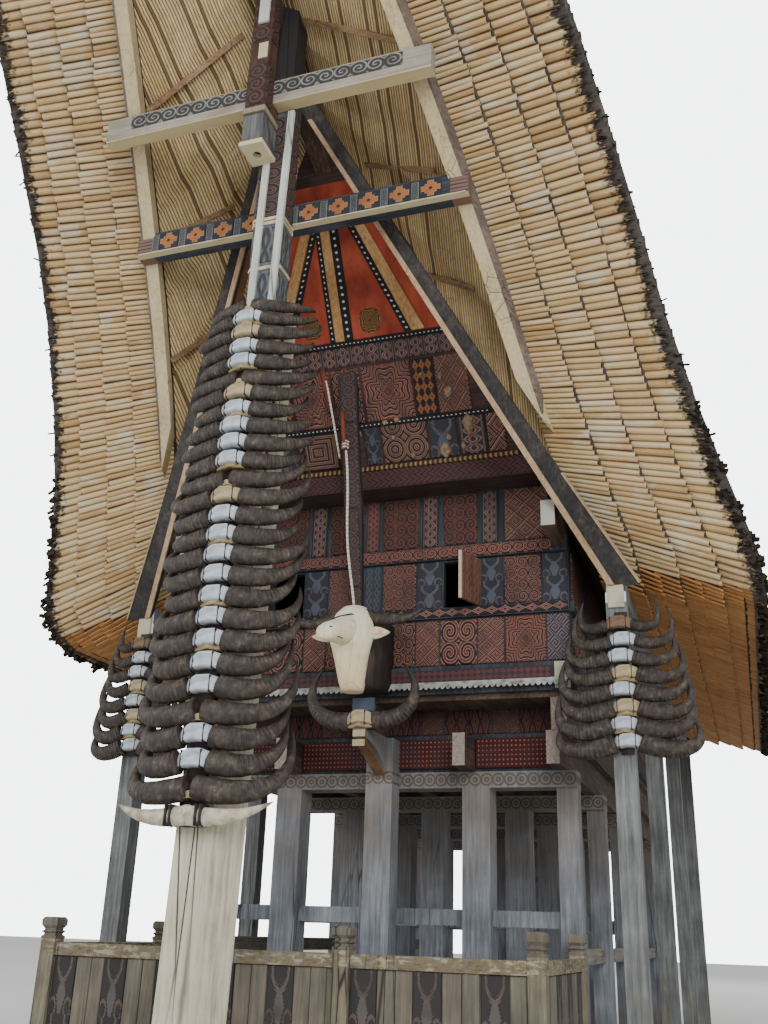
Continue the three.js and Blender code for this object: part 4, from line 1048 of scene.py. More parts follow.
for side, name in ENDS:
    boards = Stock()
    head_front = lambda x, z, proud: (x, side * (HEAD_REACH + proud), z)
    right_face = lambda y, z, proud: (0.225 + proud, side * y, z)
    left_face = lambda y, z, proud: (-0.015 - proud, side * y, z)
    for face, u in ((head_front, HEAD_WIDTH), (right_face, HEAD_DEPTH), (left_face, HEAD_DEPTH)):
        panel(boards, face, u, SCROLL_HEIGHTS, head_scrolls, (1, 6), 0.008)
        for heights in LINE_HEIGHTS:
            panel(boards, face, u, heights, head_lines, (2, 5), 0.008)
        for z in STRIP_FEET:
            panel(boards, face, u, (z, z + 0.03), cream_strip, proud=0.016)
    for low, high, width in (
        ((0.03, 5.36), (0.06, 6.72 if side < 0 else 7.19), 0.055), ((0.195, 5.33), (0.24, 7.17), 0.052),
    ):
        ends = [(x, side * LATH_REACH, z) for x, z in (low, high)]
        boards.bar(*ends, width, 0.03, pale_lath, (0, side, 0))
    boards.make(name + "_post_head_boards", smooth=False)
boards = Stock()
block_front = upright(-1, 7.125)
CURLED = (((7.09, 7.5), (1, 3)), ((7.76, 8.25), (1, 4)))
for heights, cells in CURLED:
    panel(boards, block_front, (-0.045, 0.105), heights, block_curls, cells, 0.008)
panel(boards, block_front, (0.02, 0.1), (7.56, 7.72), cream_strip, proud=0.012)
panel(boards, block_front, (0.0, 0.09), (7.93, 8.28), pale_lath, proud=0.03)
for hand in (-1, 1):
    edge = 0.115 if hand > 0 else 0.055
    flank = lambda y, z, proud: (hand * (edge + proud), -y, z)
    for heights, cells in CURLED:
        panel(boards, flank, (7.0, 7.12), heights, block_curls, cells, 0.006)
boards.make("prow_block_boards", smooth=False)

# Lining of the prow
# Thin reeds laid side by side along the roof, tied to brown battens, line the underside of the prow.
paint = Finish("reed_lining")
fanned = abs(paint.x) - abs(paint.y) * 0.12
REEDS_PER_METRE = 44
bent = (fanned + paint.noise(0.5, (1, 0.5, 1), 1.0) * 0.06) * REEDS_PER_METRE
stem = abs(bent % 1.0 - 0.5) * 2
each = paint.chance(bent.math("FLOOR"))
paint.colour, relief = timber(paint, "y", (150, 124, 84), (206, 180, 132), (228, 208, 164), 0.3)
paint.coat(each * 0.6, (168, 136, 88))
paint.coat((each > 0.88) * 0.75, (72, 52, 34))
paint.coat(stem.between(0.55, 0.92) * 0.85, (64, 46, 30))
dress(paint.done(relief * 0.3 - stem * stem, 0.01), "front_soffit", "rear_soffit")


# Bamboo roof
# The roof is many layers of split bamboo, laid in courses that step outwards. From below the courses
# show as rows of half round pieces, with painted shade at their cut ends and in the gaps, where the
# dark slab under them shows; from above they show as long rows of covers. The layers under the side
# eaves are flat strips, and the outer edge rots away.
def laying_tree():
    """Lays copies of one piece on points that carry their direction, top side and size."""
    tree = bpy.data.node_groups.new("laid_pieces", "GeometryNodeTree")
    face = tree.interface
    for name, kind in (
        ("Places", "NodeSocketGeometry"), ("Piece", "NodeSocketObject"), ("Finish", "NodeSocketMaterial"),
        ("Uneven", "NodeSocketFloat"), ("Seed", "NodeSocketInt"),
    ):
        face.new_socket(name, in_out="INPUT", socket_type=kind)
    face.new_socket("Laid", in_out="OUTPUT", socket_type="NodeSocketGeometry")

    def node(kind, sockets=(), **settings):
        made = tree.nodes.new(kind)
        for name, value in settings.items():
            setattr(made, name, value)
        for name, value in dict(sockets).items():
            if isinstance(value, bpy.types.NodeSocket):
                tree.links.new(value, made.inputs[name])
            else:
                made.inputs[name].default_value = value
        return made

    given = node("NodeGroupInput").outputs

    def carried(name):
        return node("GeometryNodeInputNamedAttribute", {"Name": name}, data_type="FLOAT_VECTOR").outputs[0]

    chance = node("FunctionNodeRandomValue", {"Seed": given["Seed"]}, data_type="FLOAT_VECTOR")
    chance.inputs[0].default_value = (-1, -1, -1)
    sway = node("ShaderNodeVectorMath", {0: chance.outputs[0]}, operation="SCALE")
    tree.links.new(given["Uneven"], sway.inputs["Scale"])
    towards = node("ShaderNodeVectorMath", {0: carried("along"), 1: sway.outputs[0]}, operation="ADD")
    turn = node(
        "FunctionNodeAxesToRotation", {"Primary Axis": towards.outputs[0], "Secondary Axis": carried("top")},
        primary_axis="X", secondary_axis="Z",
    )
    piece = node("GeometryNodeObjectInfo", {"Object": given["Piece"], "As Instance": True})
    laid = node("GeometryNodeInstanceOnPoints", {
        "Points": given["Places"], "Instance": piece.outputs["Geometry"],
        "Rotation": turn.outputs[0], "Scale": carried("size"),
    })
    tint = node("FunctionNodeRandomValue", {"Seed": given["Seed"]}, data_type="FLOAT")
    tinted = node(
        "GeometryNodeStoreNamedAttribute",
        {"Geometry": laid.outputs[0], "Name": "tint", "Value": tint.outputs[1]},
        data_type="FLOAT", domain="INSTANCE",
    )
    whole = node("GeometryNodeRealizeInstances", {"Geometry": tinted.outputs[0]})
    coated = node("GeometryNodeSetMaterial", {"Geometry": whole.outputs[0], "Material": given["Finish"]})
    tree.links.new(coated.outputs[0], node("NodeGroupOutput").inputs[0])
    return tree


LAYING = laying_tree()


def lay(name, piece, places, material, uneven=0.0, seed=1):
    """Lays a piece at places, each a point, a direction, a top side and a size, as one plain mesh."""
    points = bpy.data.meshes.new(name)
    points.from_pydata([place[0] for place in places], [], [])
    for i, mark in enumerate(("along", "top", "size")):
        data = np.array([place[i + 1] for place in places], dtype=np.float32).ravel()
        points.attributes.new(mark, "FLOAT_VECTOR", "POINT").data.foreach_set("vector", data)
    made = put(name, points)
    modifier = made.modifiers.new("laid", "NODES")
    modifier.node_group = LAYING
    given = {"Piece": piece, "Finish": material, "Uneven": uneven, "Seed": seed}
    for item in LAYING.interface.items_tree:
        if item.in_out == "INPUT" and item.name in given:
            modifier[item.identifier] = given[item.name]
    bpy.context.view_layer.update()
    whole = bpy.data.meshes.new_from_object(made.evaluated_get(bpy.context.evaluated_depsgraph_get()))
    made.modifiers.remove(modifier)
    made.data = whole
    whole.name = name
    if not whole.materials:
        whole.materials.append(material)
    return made


def pattern_piece(name, outer, inner=(), tips=()):
    """One piece to lay: its outline, or two lines if it is hollow, carried one unit along +X."""
    ring = [*outer, *inner]
    count, half = len(ring), len(outer)
    far = list(tips) or [1.0] * half
    far += far[::-1] if inner else []
    points = [(0.0, y, z) for y, z in ring] + [(x, y, z) for x, (y, z) in zip(far, ring)]
    faces = [(i, (i + 1) % count, (i + 1) % count + count, i + count) for i in range(count)]
    caps = [tuple(range(count))]
    if inner:
        caps = [(i, i + 1, count - 2 - i, count - 1 - i) for i in range(half - 1)]
    faces += [cap[::-1] for cap in caps] + [tuple(k + count for k in cap) for cap in caps]
    mesh = bpy.data.meshes.new(name)
    mesh.from_pydata(points, [], faces)
    spots = [value for x, y, z in points for value in (x, 2 * y, z)]
    mesh.attributes.new("spot", "FLOAT_VECTOR", "POINT").data.foreach_set("vector", spots)
    sides = zip(ring, ring[1:] + ring[:1])
    if sum(a[0] * b[1] - b[0] * a[1] for a, b in sides) < 0:
        mesh.flip_normals()
    return put(name, mesh)


def arc(radius, start, stop, count):
    angles = [math.radians(start + (stop - start) * i / count) for i in range(count + 1)]
    return [(radius * math.cos(angle), radius * math.sin(angle)) for angle in angles]


def rows(first, second, low, high, pitch):
    """Places at even steps along the middle of a course."""
    reaches = np.linspace(low, high, 160)
    middles = np.array([section(reach)[[first, second]].mean(axis=0) for reach in reaches])
    steps = np.sqrt(np.diff(reaches) ** 2 + (np.diff(middles, axis=0) ** 2).sum(axis=1))
    walked = np.concatenate([[0.0], np.cumsum(steps)])
    count = int(walked[-1] / pitch)
    return np.interp((np.arange(count) + 0.5) * walked[-1] / count, walked, reaches)


def in_course(reach, first, second, fan, lap):
    """Where a piece of a course starts, its direction, its top side and its length."""
    along = np.insert(tangent(reach, first), 1, 1.0)
    span = np.linalg.norm(section(reach)[second] - section(reach)[first])
    far = min(reach + fan * span / np.linalg.norm(along), LAST_REACH)
    start = np.insert(section(reach)[first], 1, reach)
    run = np.insert(section(far)[second], 1, far) - start
    length = float(np.linalg.norm(run))
    run = run / length
    top = np.cross(run, along)
    top *= math.copysign(1, top[2]) / np.linalg.norm(top)
    return start - run * lap, run, top, length + lap


def straw_tone(finish):
    """Split bamboo seen from its round side: straw, bleached in places, with painted shade in brown along its
    edges.
    Returns the height of its streaks, and how far along a piece a place is."""
    tint = finish.attribute("tint")
    along, across, _ = finish.spots()
    streak = finish.noise(60, (0.12, 1, 0.12), 4.0, 0.6)
    patches = finish.noise(4.5, (0.6, 1, 1), 4.0)
    finish.colour = finish.ramp(tint * 0.5 + streak * 0.35 + patches * 0.15, [
        (0.14, (152, 120, 78)), (0.36, (182, 154, 108)), (0.6, (198, 176, 132)), (0.85, (206, 196, 166)),
    ])
    finish.coat(patches.between(0.52, 0.66) * 0.5, (198, 198, 182))
    finish.coat((tint > 0.86) * 0.4, (198, 142, 84))
    # Painted shade: brown along both edges of each piece, where its round side turns away.
    finish.coat(abs(across).between(0.45, 1.0) * 0.85, (126, 88, 52))
    return streak, along


paint = Finish("split_bamboo", 0.6, 0.4)
streak, _ = straw_tone(paint)
bamboo = paint.done(streak, 0.002)
paint = Finish("rotten_tips", 0.75, 0.3)
streak, along = straw_tone(paint)
gone = (along + paint.noise(26, detail=4.0) * 0.8).between(1.08, 1.32)
paint.coat(gone, (44, 37, 32))
rotten_tips = paint.done(streak, 0.003)
paint, relief = wooden("old_strips", "x", (128, 84, 44), (186, 132, 76), (208, 162, 104), 0.3, 0.75)
paint.coat(paint.attribute("tint") * 0.4, (134, 92, 50))
along, _, _ = paint.spots()
gone = (paint.noise(26) * 0.8 + along).between(1.1, 1.3) * (abs(paint.x) > 3.3)
paint.coat(gone, (44, 36, 30))
old_strips = paint.done(relief, 0.003)
paint = Finish("rotten_edge", 0.95, 0.1)
paint.colour = paint.ramp(paint.noise(22, detail=5.0), [
    (0.35, (24, 22, 20)), (0.55, (48, 42, 36)), (0.75, (90, 80, 60)),
])
rot = paint.done(paint.noise(40), 0.01)
# The dark slab is painted shade where it shows in the gaps and at the risers between the courses of bamboo;
# at the eave edge it is old dark layers.
paint, relief = wooden("old_layers_and_gap_shade", "x", (38, 36, 37), (66, 61, 58), (104, 94, 82), 0.5, 0.8)
old_layers_and_gap_shade = paint.done(relief, 0.006)
dress(
    old_layers_and_gap_shade,
    "front_right_roof", "front_left_roof", "middle_right_roof", "middle_left_roof",
    "rear_right_roof", "rear_left_roof",
)

half_round = (arc(0.5, 180, 360, 6), arc(0.4, 360, 180, 6))
channel = pattern_piece("channel", *half_round)
split_end = pattern_piece("split_end", *half_round, (0.9, 1.0, 0.82, 0.97, 0.8, 0.94, 1.0))
cover = pattern_piece("cover", arc(0.5, 0, 180, 4))
flat_strip = pattern_piece(
    "flat_strip", [(-0.48, 0.0), (0.0, 0.0), (0.48, 0.0)], [(0.44, -0.2), (0.0, -0.2), (-0.44, -0.2)],
)
torn_strip = pattern_piece(
    "torn_strip", [(-0.48, 0.0), (-0.2, 0.0), (0.1, 0.0), (0.48, 0.0)],
    [(0.44, -0.2), (0.1, -0.2), (-0.2, -0.2), (-0.44, -0.2)], (0.8, 1.0, 0.7, 0.92),
)
chunk = pattern_piece("chunk", [(-0.5, 0.1), (-0.2, -0.4), (0.35, -0.5), (0.5, 0.15), (0.1, 0.5)])
chance = random.Random(7)
TILE_WIDTHS = (0.046, 0.055, 0.064, 0.072)
COVER_PITCH, EDGE_PITCH, STRIP_PITCH = 0.08, 0.07, 0.056
FAN_REACHES, FAN = (4.0, 5.0, 6.0, 9.9), (0.14, 0.22, 0.28, 0.34)
PROW_START, PROW_END = 3.93, 9.86
EAVE_CORNER = 8
tile_rows = [
    rows(1 + 2 * course, 2 + 2 * course, PROW_START, PROW_END, wide)
    for course, wide in enumerate(TILE_WIDTHS)
]
edge_rows = rows(EAVE_CORNER, EAVE_CORNER, 0.0, PROW_END, EDGE_PITCH)
cover_rows = [
    rows(9 + 2 * course, 10 + 2 * course, 0.0, PROW_END, COVER_PITCH) for course in range(TOP_COURSES)
]
for side, name in ((1, "right"), (-1, "left")):
    under, tips, strips, torn, layers, edge, tops = [], [], [], [], [], [], []
    for end in (-1, 1):
        facing = np.array((side, end, 1))
        for course, wide in enumerate(TILE_WIDTHS):
            last = course == UNDER_COURSES - 1
            for reach in tile_rows[course]:
                fan = float(np.interp(reach, FAN_REACHES, FAN))
                start, run, top, length = in_course(reach, 1 + 2 * course, 2 + 2 * course, fan, 0.1)
                length += chance.uniform(-0.05, 0.01) if last else chance.uniform(-0.015, 0.018)
                size = (length, wide * 1.04, wide * 1.05)
                where = ((start + top * 0.004) * facing, run * facing, top * facing, size)
                (tips if last else under).append(where)
        for course in range(TOP_COURSES):
            lap = 0.02 if course else -0.05
            for reach in cover_rows[course]:
                start, run, top, length = in_course(reach, 9 + 2 * course, 10 + 2 * course, 0.0, lap)
                size = (length, 0.083, 0.06)
                tops.append(((start - top * 0.004) * facing, run * facing, top * facing, size))
        for reach in edge_rows:
            climb = tangent(reach, EAVE_CORNER)[1]
            x, z = section(reach)[EAVE_CORNER]
            for lift in (0.02, 0.06, 0.1):
                where = np.array((x - 0.1, reach, z + lift)) * facing
                size = (0.1 + chance.uniform(-0.02, 0.02), 0.07, 0.04)
                layers.append((where, (side, 0, 0), (0, -climb * end, 1), size))
            for _ in range(6 if reach < 4.9 else 1):
                thick = chance.uniform(0.02, 0.05) if reach < 4.9 else chance.uniform(0.012, 0.024)
                where = np.array((
                    x - chance.uniform(0.0, 0.09), reach + chance.uniform(-0.04, 0.04),
                    z + chance.uniform(-0.02, 0.12),
                ))
                towards = (side, chance.uniform(-0.7, 0.7), chance.uniform(-0.9, 0.4))
                edge.append((where * facing, towards, (0, 0, 1), (chance.uniform(0.02, 0.08), thick, thick)))
    for y in np.arange(-3.92, PROW_START, STRIP_PITCH):
        points = section(y)
        for half in range(2 * UNDER_COURSES):
            last = half == 2 * UNDER_COURSES - 1
            inner, outer = points[1 + 2 * (half // 2)], points[2 + 2 * (half // 2)]
            run = (outer - inner) / 2
            start = inner + run * (half % 2)
            reach = float(np.linalg.norm(run))
            run = run / reach
            start = start - run * 0.05 - np.array((0, 0.0 if half % 2 else 0.018))
            trim = chance.uniform(-0.05, 0.02) if last else chance.uniform(-0.01, 0.012)
            size = (reach + 0.05 + trim, 0.057, 0.07)
            where = (side * start[0], y, start[1] + 0.003)
            (torn if last else strips).append((where, (side * run[0], 0, run[1]), (0, 0, 1), size))
    for label, piece, places, material in (
        ("eaves_under", channel, under, bamboo),
        ("eaves_tips", split_end, tips, rotten_tips),
        ("eaves_strips", flat_strip, strips, old_strips),
        ("eaves_torn", torn_strip, torn, old_strips),
        ("eaves_layers", cover, layers, old_layers_and_gap_shade),
        ("eaves_rot", chunk, edge, rot),
        ("roof_covers", cover, tops, bamboo),
    ):
        laid = lay(name + "_" + label, piece, places, material, 0.02, 11)
        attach(laid, "root")

for piece in (channel, split_end, cover, flat_strip, torn_strip, chunk):
    bpy.data.objects.remove(piece)


# Stacks of buffalo horns
# Pairs of real horns on their skull plates, tied one over another to a board on the great post and
# to boards on two side posts. The horns are grey and ridged, the plates bleached above and spongy
# below, each held by two black ties.
def bezier(ends, u):
    a, b, c, d = (np.array(end, dtype=float) for end in ends)
    return a * (1 - u) ** 3 + 3 * b * u * (1 - u) ** 2 + 3 * c * u**2 * (1 - u) + d * u**3


HORN_TAPER, HORN_FLATNESS, HORN_RIDGE = 0.93, 0.8, 0.014


def horn(stock, centre, curve, radius, finish, rings=17):
    """One tapering horn along a curve from the centre of its skull, ridged in its lower half."""
    curve = [np.array(end) + centre for end in curve]
    skins, grades = [], []
    for i in range(rings):
        u = (i / (rings - 1)) ** 0.9
        middle = bezier(curve, u)
        along = bezier(curve, min(u + 0.01, 1)) - bezier(curve, max(u - 0.01, 0))
        along /= np.linalg.norm(along)
        side = np.cross((0.0, 1.0, 0.0), along)
        side /= np.linalg.norm(side)
        up = np.cross(along, side)
        thick = radius * (1 - HORN_TAPER * u**1.7) * (1 if i < rings - 1 else 0.3)
        thick *= 1 + HORN_RIDGE * (-1) ** i * (u < 0.6)
        skins.append([
            middle + side * thick * math.cos(turn) + up * thick * HORN_FLATNESS * math.sin(turn)
            for turn in turns(12)
        ])
        grades.append(u)
    stock.skin(skins, finish, grades)


paint = Finish("old_horn", 0.6, 0.4)
along_horn = paint.attribute("grade")
rings = (along_horn * 150).math("SINE")
speckle = paint.noise(20, detail=5.0, rough=0.65)
paint.colour = paint.ramp(speckle, [
    (0.32, (34, 30, 27)), (0.48, (54, 46, 40)), (0.62, (78, 68, 58)), (0.76, (122, 112, 98)),
])
paint.coat(rings.between(0.2, 1.0) * (1 - along_horn.between(0.3, 0.6)) * 0.35, (54, 46, 42))
paint.coat(along_horn.between(0.6, 0.95) * 0.75, (42, 38, 38))
old_horn = paint.done(rings * 0.5 * (1 - along_horn.between(0.3, 0.7)) + speckle, 0.008)
paint = Finish("pale_horn", 0.55, 0.4)
paint.colour = paint.ramp(paint.noise(15, detail=4.0), [(0.35, (150, 138, 112)), (0.65, (204, 198, 180))])
paint.coat(paint.attribute("grade").between(0.75, 1.0), (96, 84, 70))
pale_horn = paint.done(paint.noise(30), 0.002)


def bone(name, above, below, worn):
    """A skull plate: smooth above, with a spongy lower edge, and pits here and there."""
    finish = Finish(name, 0.7, 0.4)
    speckle = finish.noise(18, detail=4.0)
    finish.colour = finish.ramp(speckle, [(0.3, [c * 0.72 for c in above[:3]] + [1]), (0.6, above)])
    spongy = (1 - (finish.uv()[1] + (speckle - 0.5) * 0.6).between(-0.75, -0.35)) * worn
    pits = finish.cells(90).between(0.1, 0.45)
    finish.coat(spongy, finish.mix(pits, (70, 54, 34), below))
    return finish.done(speckle * 0.4 + spongy * pits, 0.003)


white_bone = bone("white_bone", shade(184, 192, 200), shade(168, 142, 92), 0.9)
tan_bone = bone("tan_bone", shade(170, 154, 122), shade(146, 128, 90), 1.0)
brown_bone = bone("brown_bone", shade(118, 94, 72), shade(84, 64, 46), 1.0)
paint = Finish("black_tie", 0.5)
paint.colour = paint.ramp(paint.noise(40), [(0.3, (20, 20, 22)), (0.7, (52, 50, 50))])
black_tie = paint.done(paint.noise(80), 0.001)
dark_board = bare_wood("dark_board", "z", (30, 26, 24), (58, 50, 46), (90, 80, 70), 0.3)


PLATE = [
    (-1, -0.6), (-0.5, -0.5), (0, -0.42), (0.5, -0.5), (1, -0.6), (1.02, 0.1), (0.75, 0.7), (0.3, 0.95),
    (-0.3, 0.95), (-0.75, 0.7), (-1.02, 0.1),
]
SPONGE = [
    (-0.95, -0.84), (-0.5, -0.9), (0, -0.76), (0.5, -0.9), (0.95, -0.84), (1, -0.5), (0.5, -0.3), (0, -0.2),
    (-0.5, -0.3), (-1, -0.5),
]


def handed(side, points):
    """Points given on the right, or the same ones on the left."""
    return [(side * x, y, z) for x, y, z in points]


def skull_plate(stock, centre, wide, tall, finish, whole=True, spongy=True):
    """The plate of bone between two horns, facing -Y and bent back, with its spongy edge and ties."""
    x, y, z = centre
    bent = lambda a: 0.055 * a * a
    layers = []
    if spongy or not whole:
        layers.append((SPONGE, ((1, 0.0), (1, -0.05), (0.85, -0.066)), tan_bone))
    if whole:
        layers.append((PLATE, ((1, 0.0), (1, -0.055), (0.9, -0.078), (0.66, -0.09)), finish))
    for outline, rings, coat in layers:
        middle = sum(b for _, b in outline) / len(outline)
        shrunk = [
            (out, [(a * size, middle + (b - middle) * size) for a, b in outline]) for size, out in rings
        ]
        stock.skin(
            [[(x + a * wide, y + out + bent(a), z + b * tall) for a, b in ring] for out, ring in shrunk],
            coat, uvs=[spot for _, ring in shrunk for spot in ring],
        )
    for at in (-0.55, 0.45) if whole else ():
        front, across = y - 0.092 + bent(at), x + at * wide
        height = (z - tall * 0.55, z + tall * 0.8)
        stock.block((across - 0.003, across + 0.003), (front, front + 0.08), height, black_tie)


def horn_pair(stock, centre, span, sweep, rise, radius, plate, cover, dip=0.05, whole=True, spongy=True):
    """A pair of horns on its skull plate, which faces -Y."""
    root = plate[0] * (0.4 if whole else 0.1)
    for side in (-1, 1):
        curve = [
            (root, -0.025, 0), (span * 0.8, -0.05, -dip * 1.4), (span * 1.3, sweep * 0.35, -dip * 0.4),
            (span * 0.95, sweep, rise),
        ]
        horn(stock, centre, handed(side, curve), radius, old_horn)
    skull_plate(stock, centre, plate[0] / 2, plate[1] / 2, cover, whole, spongy)


CLEARANCE = 0.0003
POST_REACH, POST_RADIUS, BOARD_THICK = 6.8, 0.24, 0.06
LOWEST_PAIR, PAIR_PITCH, PAIRS = 1.714, 0.157, 27
# Pairs counted from below: plates that are tan, that are broken off, and that have a spongy edge.
TAN_PLATES, BROKEN_PLATES, SPONGY_PLATES = (14, 20, 24), (1, 4, 15, 21, 26), (7, 9, 12, 16, 19, 22, 25)
PALE_CURVE = [(-0.02, -0.045, 0), (0.2, -0.05, -0.03), (0.36, -0.03, -0.02), (0.53, 0.02, 0.08)]
great_stack = Stock()
lean = lambda x, y, z: np.array((x + 0.02 * z, y + 0.012 * z, z))
board_front = -(POST_REACH + POST_RADIUS * math.cos(math.pi / 6) + CLEARANCE + BOARD_THICK)
pale_pair = lean(0, board_front, LOWEST_PAIR)
for side in (-1, 1):
    horn(great_stack, pale_pair, handed(side, PALE_CURVE), 0.06, pale_horn)
    for at in (0.085, 0.115):
        x = pale_pair[0] + side * at
        depth = (pale_pair[1] - 0.108, pale_pair[1])
        great_stack.block((x - 0.004, x + 0.004), depth, (1.645, 1.77), black_tie)
for i in range(1, PAIRS):
    z = LOWEST_PAIR + PAIR_PITCH * i - 0.0008 * i * (i - 1)
    horn_pair(
        great_stack, lean(0, board_front, z), span=0.46 - i * 0.003 + 0.035 * math.sin(i * 1.9),
        sweep=0.34 + 0.03 * math.sin(i * 0.8), rise=0.4 - i * 0.009 + 0.05 * math.cos(i * 1.3),
        radius=0.079 - i * 0.001, plate=(0.27 + i * 0.001, 0.165 - i * 0.0012),
        cover=tan_bone if i in TAN_PLATES else white_bone, whole=i not in BROKEN_PLATES,
        spongy=i in SPONGY_PLATES,
    )
board_outline = ((-0.06, 0), (0.06, 0), (0.06, BOARD_THICK), (-0.06, BOARD_THICK))
great_stack.skin([
    [(x + a, board_front + b + y, z) for a, b in board_outline]
    for x, y, z in (lean(0, 0, 1.65), lean(0, 0, 5.29))
], dark_board)
piece = great_stack.make("great_stack")
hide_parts("prow_post_horns")

plates = [white_bone, white_bone, tan_bone, white_bone, tan_bone, white_bone, white_bone, brown_bone]
reaches = (1.0, 0.96, 0.92, 0.9, 0.84, 0.78, 0.72, 0.58)
rises = (0.2, 0.36, 0.3, 0.32, 0.28, 0.26, 0.3, 0.24)
SIDE_PITCH, SIDE_BOARD = 0.139, 0.04
for name, x, low, span in (("right", 2.31, 2.56, 0.52), ("left", -2.24, 2.64, 0.4)):
    side_stack = Stock()
    front = -(4.09 + 0.085 + CLEARANCE + SIDE_BOARD)
    for i, (plate, reach, rise) in enumerate(zip(plates, reaches, rises)):
        horn_pair(
            side_stack, np.array((x + 0.012 * (-1) ** i, front, low + i * SIDE_PITCH)), span=span * reach,
            sweep=0.02, dip=0.09 - 0.006 * i, rise=rise, radius=0.08 - i * 0.004, plate=(0.26, 0.155),
            cover=plate, spongy=i in (1, 2, 4),
        )
    height = (low - 0.08, low + 1.09)
    side_stack.block((x - 0.05, x + 0.05), (front, front + SIDE_BOARD), height, dark_board)
    piece = side_stack.make(name + "_stack")
    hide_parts(name + "_post_horns")

# Buffalo head
# A head carved in wood and painted cream, on a dark neck that stands out from the wall. The face looks
# up and out, with a cord over its forehead, real horns, and ears of painted wood.
HEAD_X = 0.045
paint, relief = wooden("painted_head", "z", (186, 172, 136), (228, 218, 188), (238, 232, 210), 0.4, 0.65, 0.4)
stains = paint.noise(5, detail=5.0)
paint.coat((1 - paint.z.between(3.2, 3.5)) * 0.45, (214, 184, 122))
paint.coat(paint.z.between(3.52, 3.7) * 0.5, (206, 212, 206))
paint.coat(stains.between(0.55, 0.75) * 0.35, (150, 132, 100))
painted_head = paint.done(relief, 0.002)
dark_marks = carved("dark_marks", plain, (34, 36, 42), (30, 30, 34), (34, 36, 42), 0.2)
paint = Finish("ear_paint", 0.7)
paint.colour = paint.ramp(paint.noise(20), [(0.35, (206, 160, 132)), (0.6, (224, 206, 186))])
ear_paint = paint.done(paint.noise(30), 0.002)
head = Stock()
# Each ring of the skull has a height, a reach, half a width and half a depth.
skull = [
    (3.77, 4.5, 0.05, 0.04), (3.75, 4.51, 0.105, 0.085), (3.69, 4.525, 0.16, 0.12),
    (3.61, 4.545, 0.19, 0.135), (3.54, 4.555, 0.2, 0.142), (3.46, 4.56, 0.2, 0.145),
    (3.37, 4.552, 0.172, 0.135), (3.27, 4.54, 0.148, 0.124), (3.17, 4.52, 0.13, 0.113),
    (3.09, 4.50, 0.118, 0.105), (3.035, 4.48, 0.104, 0.092), (3.01, 4.47, 0.09, 0.08),
]
head.skin([
    [(HEAD_X + wide * math.cos(turn), -reach + deep * math.sin(turn), z) for turn in turns(28, 0.5)]
    for z, reach, wide, deep in skull
], painted_head)
# Each ring of the muzzle has a place across, a reach, a height, half a width and half a height.
muzzle = [
    (0.0, 4.5, 3.55, 0.14, 0.16), (-0.012, 4.6, 3.535, 0.138, 0.155), (-0.03, 4.7, 3.5, 0.118, 0.13),
    (-0.05, 4.78, 3.475, 0.1, 0.108), (-0.07, 4.85, 3.455, 0.094, 0.094),
    (-0.085, 4.9, 3.44, 0.094, 0.084), (-0.094, 4.925, 3.433, 0.085, 0.07),
    (-0.098, 4.938, 3.43, 0.055, 0.042),
]
head.skin([
    [(HEAD_X + x + wide * math.cos(turn), -reach, z + tall * math.sin(turn)) for turn in turns(24)]
    for x, reach, z, wide, tall in muzzle
], painted_head)


def mark(points, radius):
    head.tube([(HEAD_X + x, -reach, z) for x, reach, z in points], radius, dark_marks, 6)


for hand in (-1, 1):
    mark([(-0.088 + hand * 0.03, 4.925, 3.47), (-0.088 + hand * 0.055, 4.922, 3.462)], 0.011)
    eye = [(hand * 0.135 - 0.01, 4.63 - 0.01 * k, 3.585 + 0.004 * (k % 2)) for k in range(4)]
    mark(eye, 0.02)
    mouth = [(hand * 0.075 - 0.06, 4.8, 3.4), (hand * 0.083 - 0.075, 4.87, 3.395), (-0.096, 4.937, 3.395)]
    mark(mouth, 0.004)
cord = [
    (-0.17, 4.79, 3.47), (-0.13, 4.77, 3.57), (-0.06, 4.73, 3.615), (0.03, 4.67, 3.65), (0.09, 4.62, 3.64),
    (0.145, 4.6, 3.56), (0.155, 4.62, 3.48),
]
mark(cord, 0.007)
head.skin([
    [(HEAD_X + x, -reach, z) for x, z in ((-wide, low), (wide, low), (wide, high), (-wide, high))]
    for reach, wide, low, high in ((3.96, 0.19, 3.09, 3.72), (4.5, 0.13, 3.08, 3.65))
], dark_board)
HORN_CURVE = [(0.09, -4.53, 3.67), (0.33, -4.52, 3.6), (0.52, -4.49, 3.61), (0.63, -4.46, 3.74)]
EAR = ((0, 0.55), (0.15, 0.85), (0.35, 1), (0.6, 0.8), (0.85, 0.4), (1, 0.08))
for side in (-1, 1):
    horn(head, (HEAD_X, 0, 0), handed(side, HORN_CURVE), 0.064, old_horn)
    for scale, lift, kind in ((1, 0, painted_head), (0.6, 0.014, ear_paint)):
        rings = []
        for u, fat in EAR:
            x, y, z = HEAD_X + side * (0.15 + 0.21 * u), -4.56 - lift - 0.02 * u, 3.5 - 0.01 * u
            thick, tall = 0.028 * fat * scale, 0.058 * fat * scale
            rings.append([(x, y + thick * math.sin(turn), z + tall * math.cos(turn)) for turn in turns(10)])
        head.skin(rings, kind)
piece = head.make("buffalo_head_carved")
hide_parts("buffalo_head")

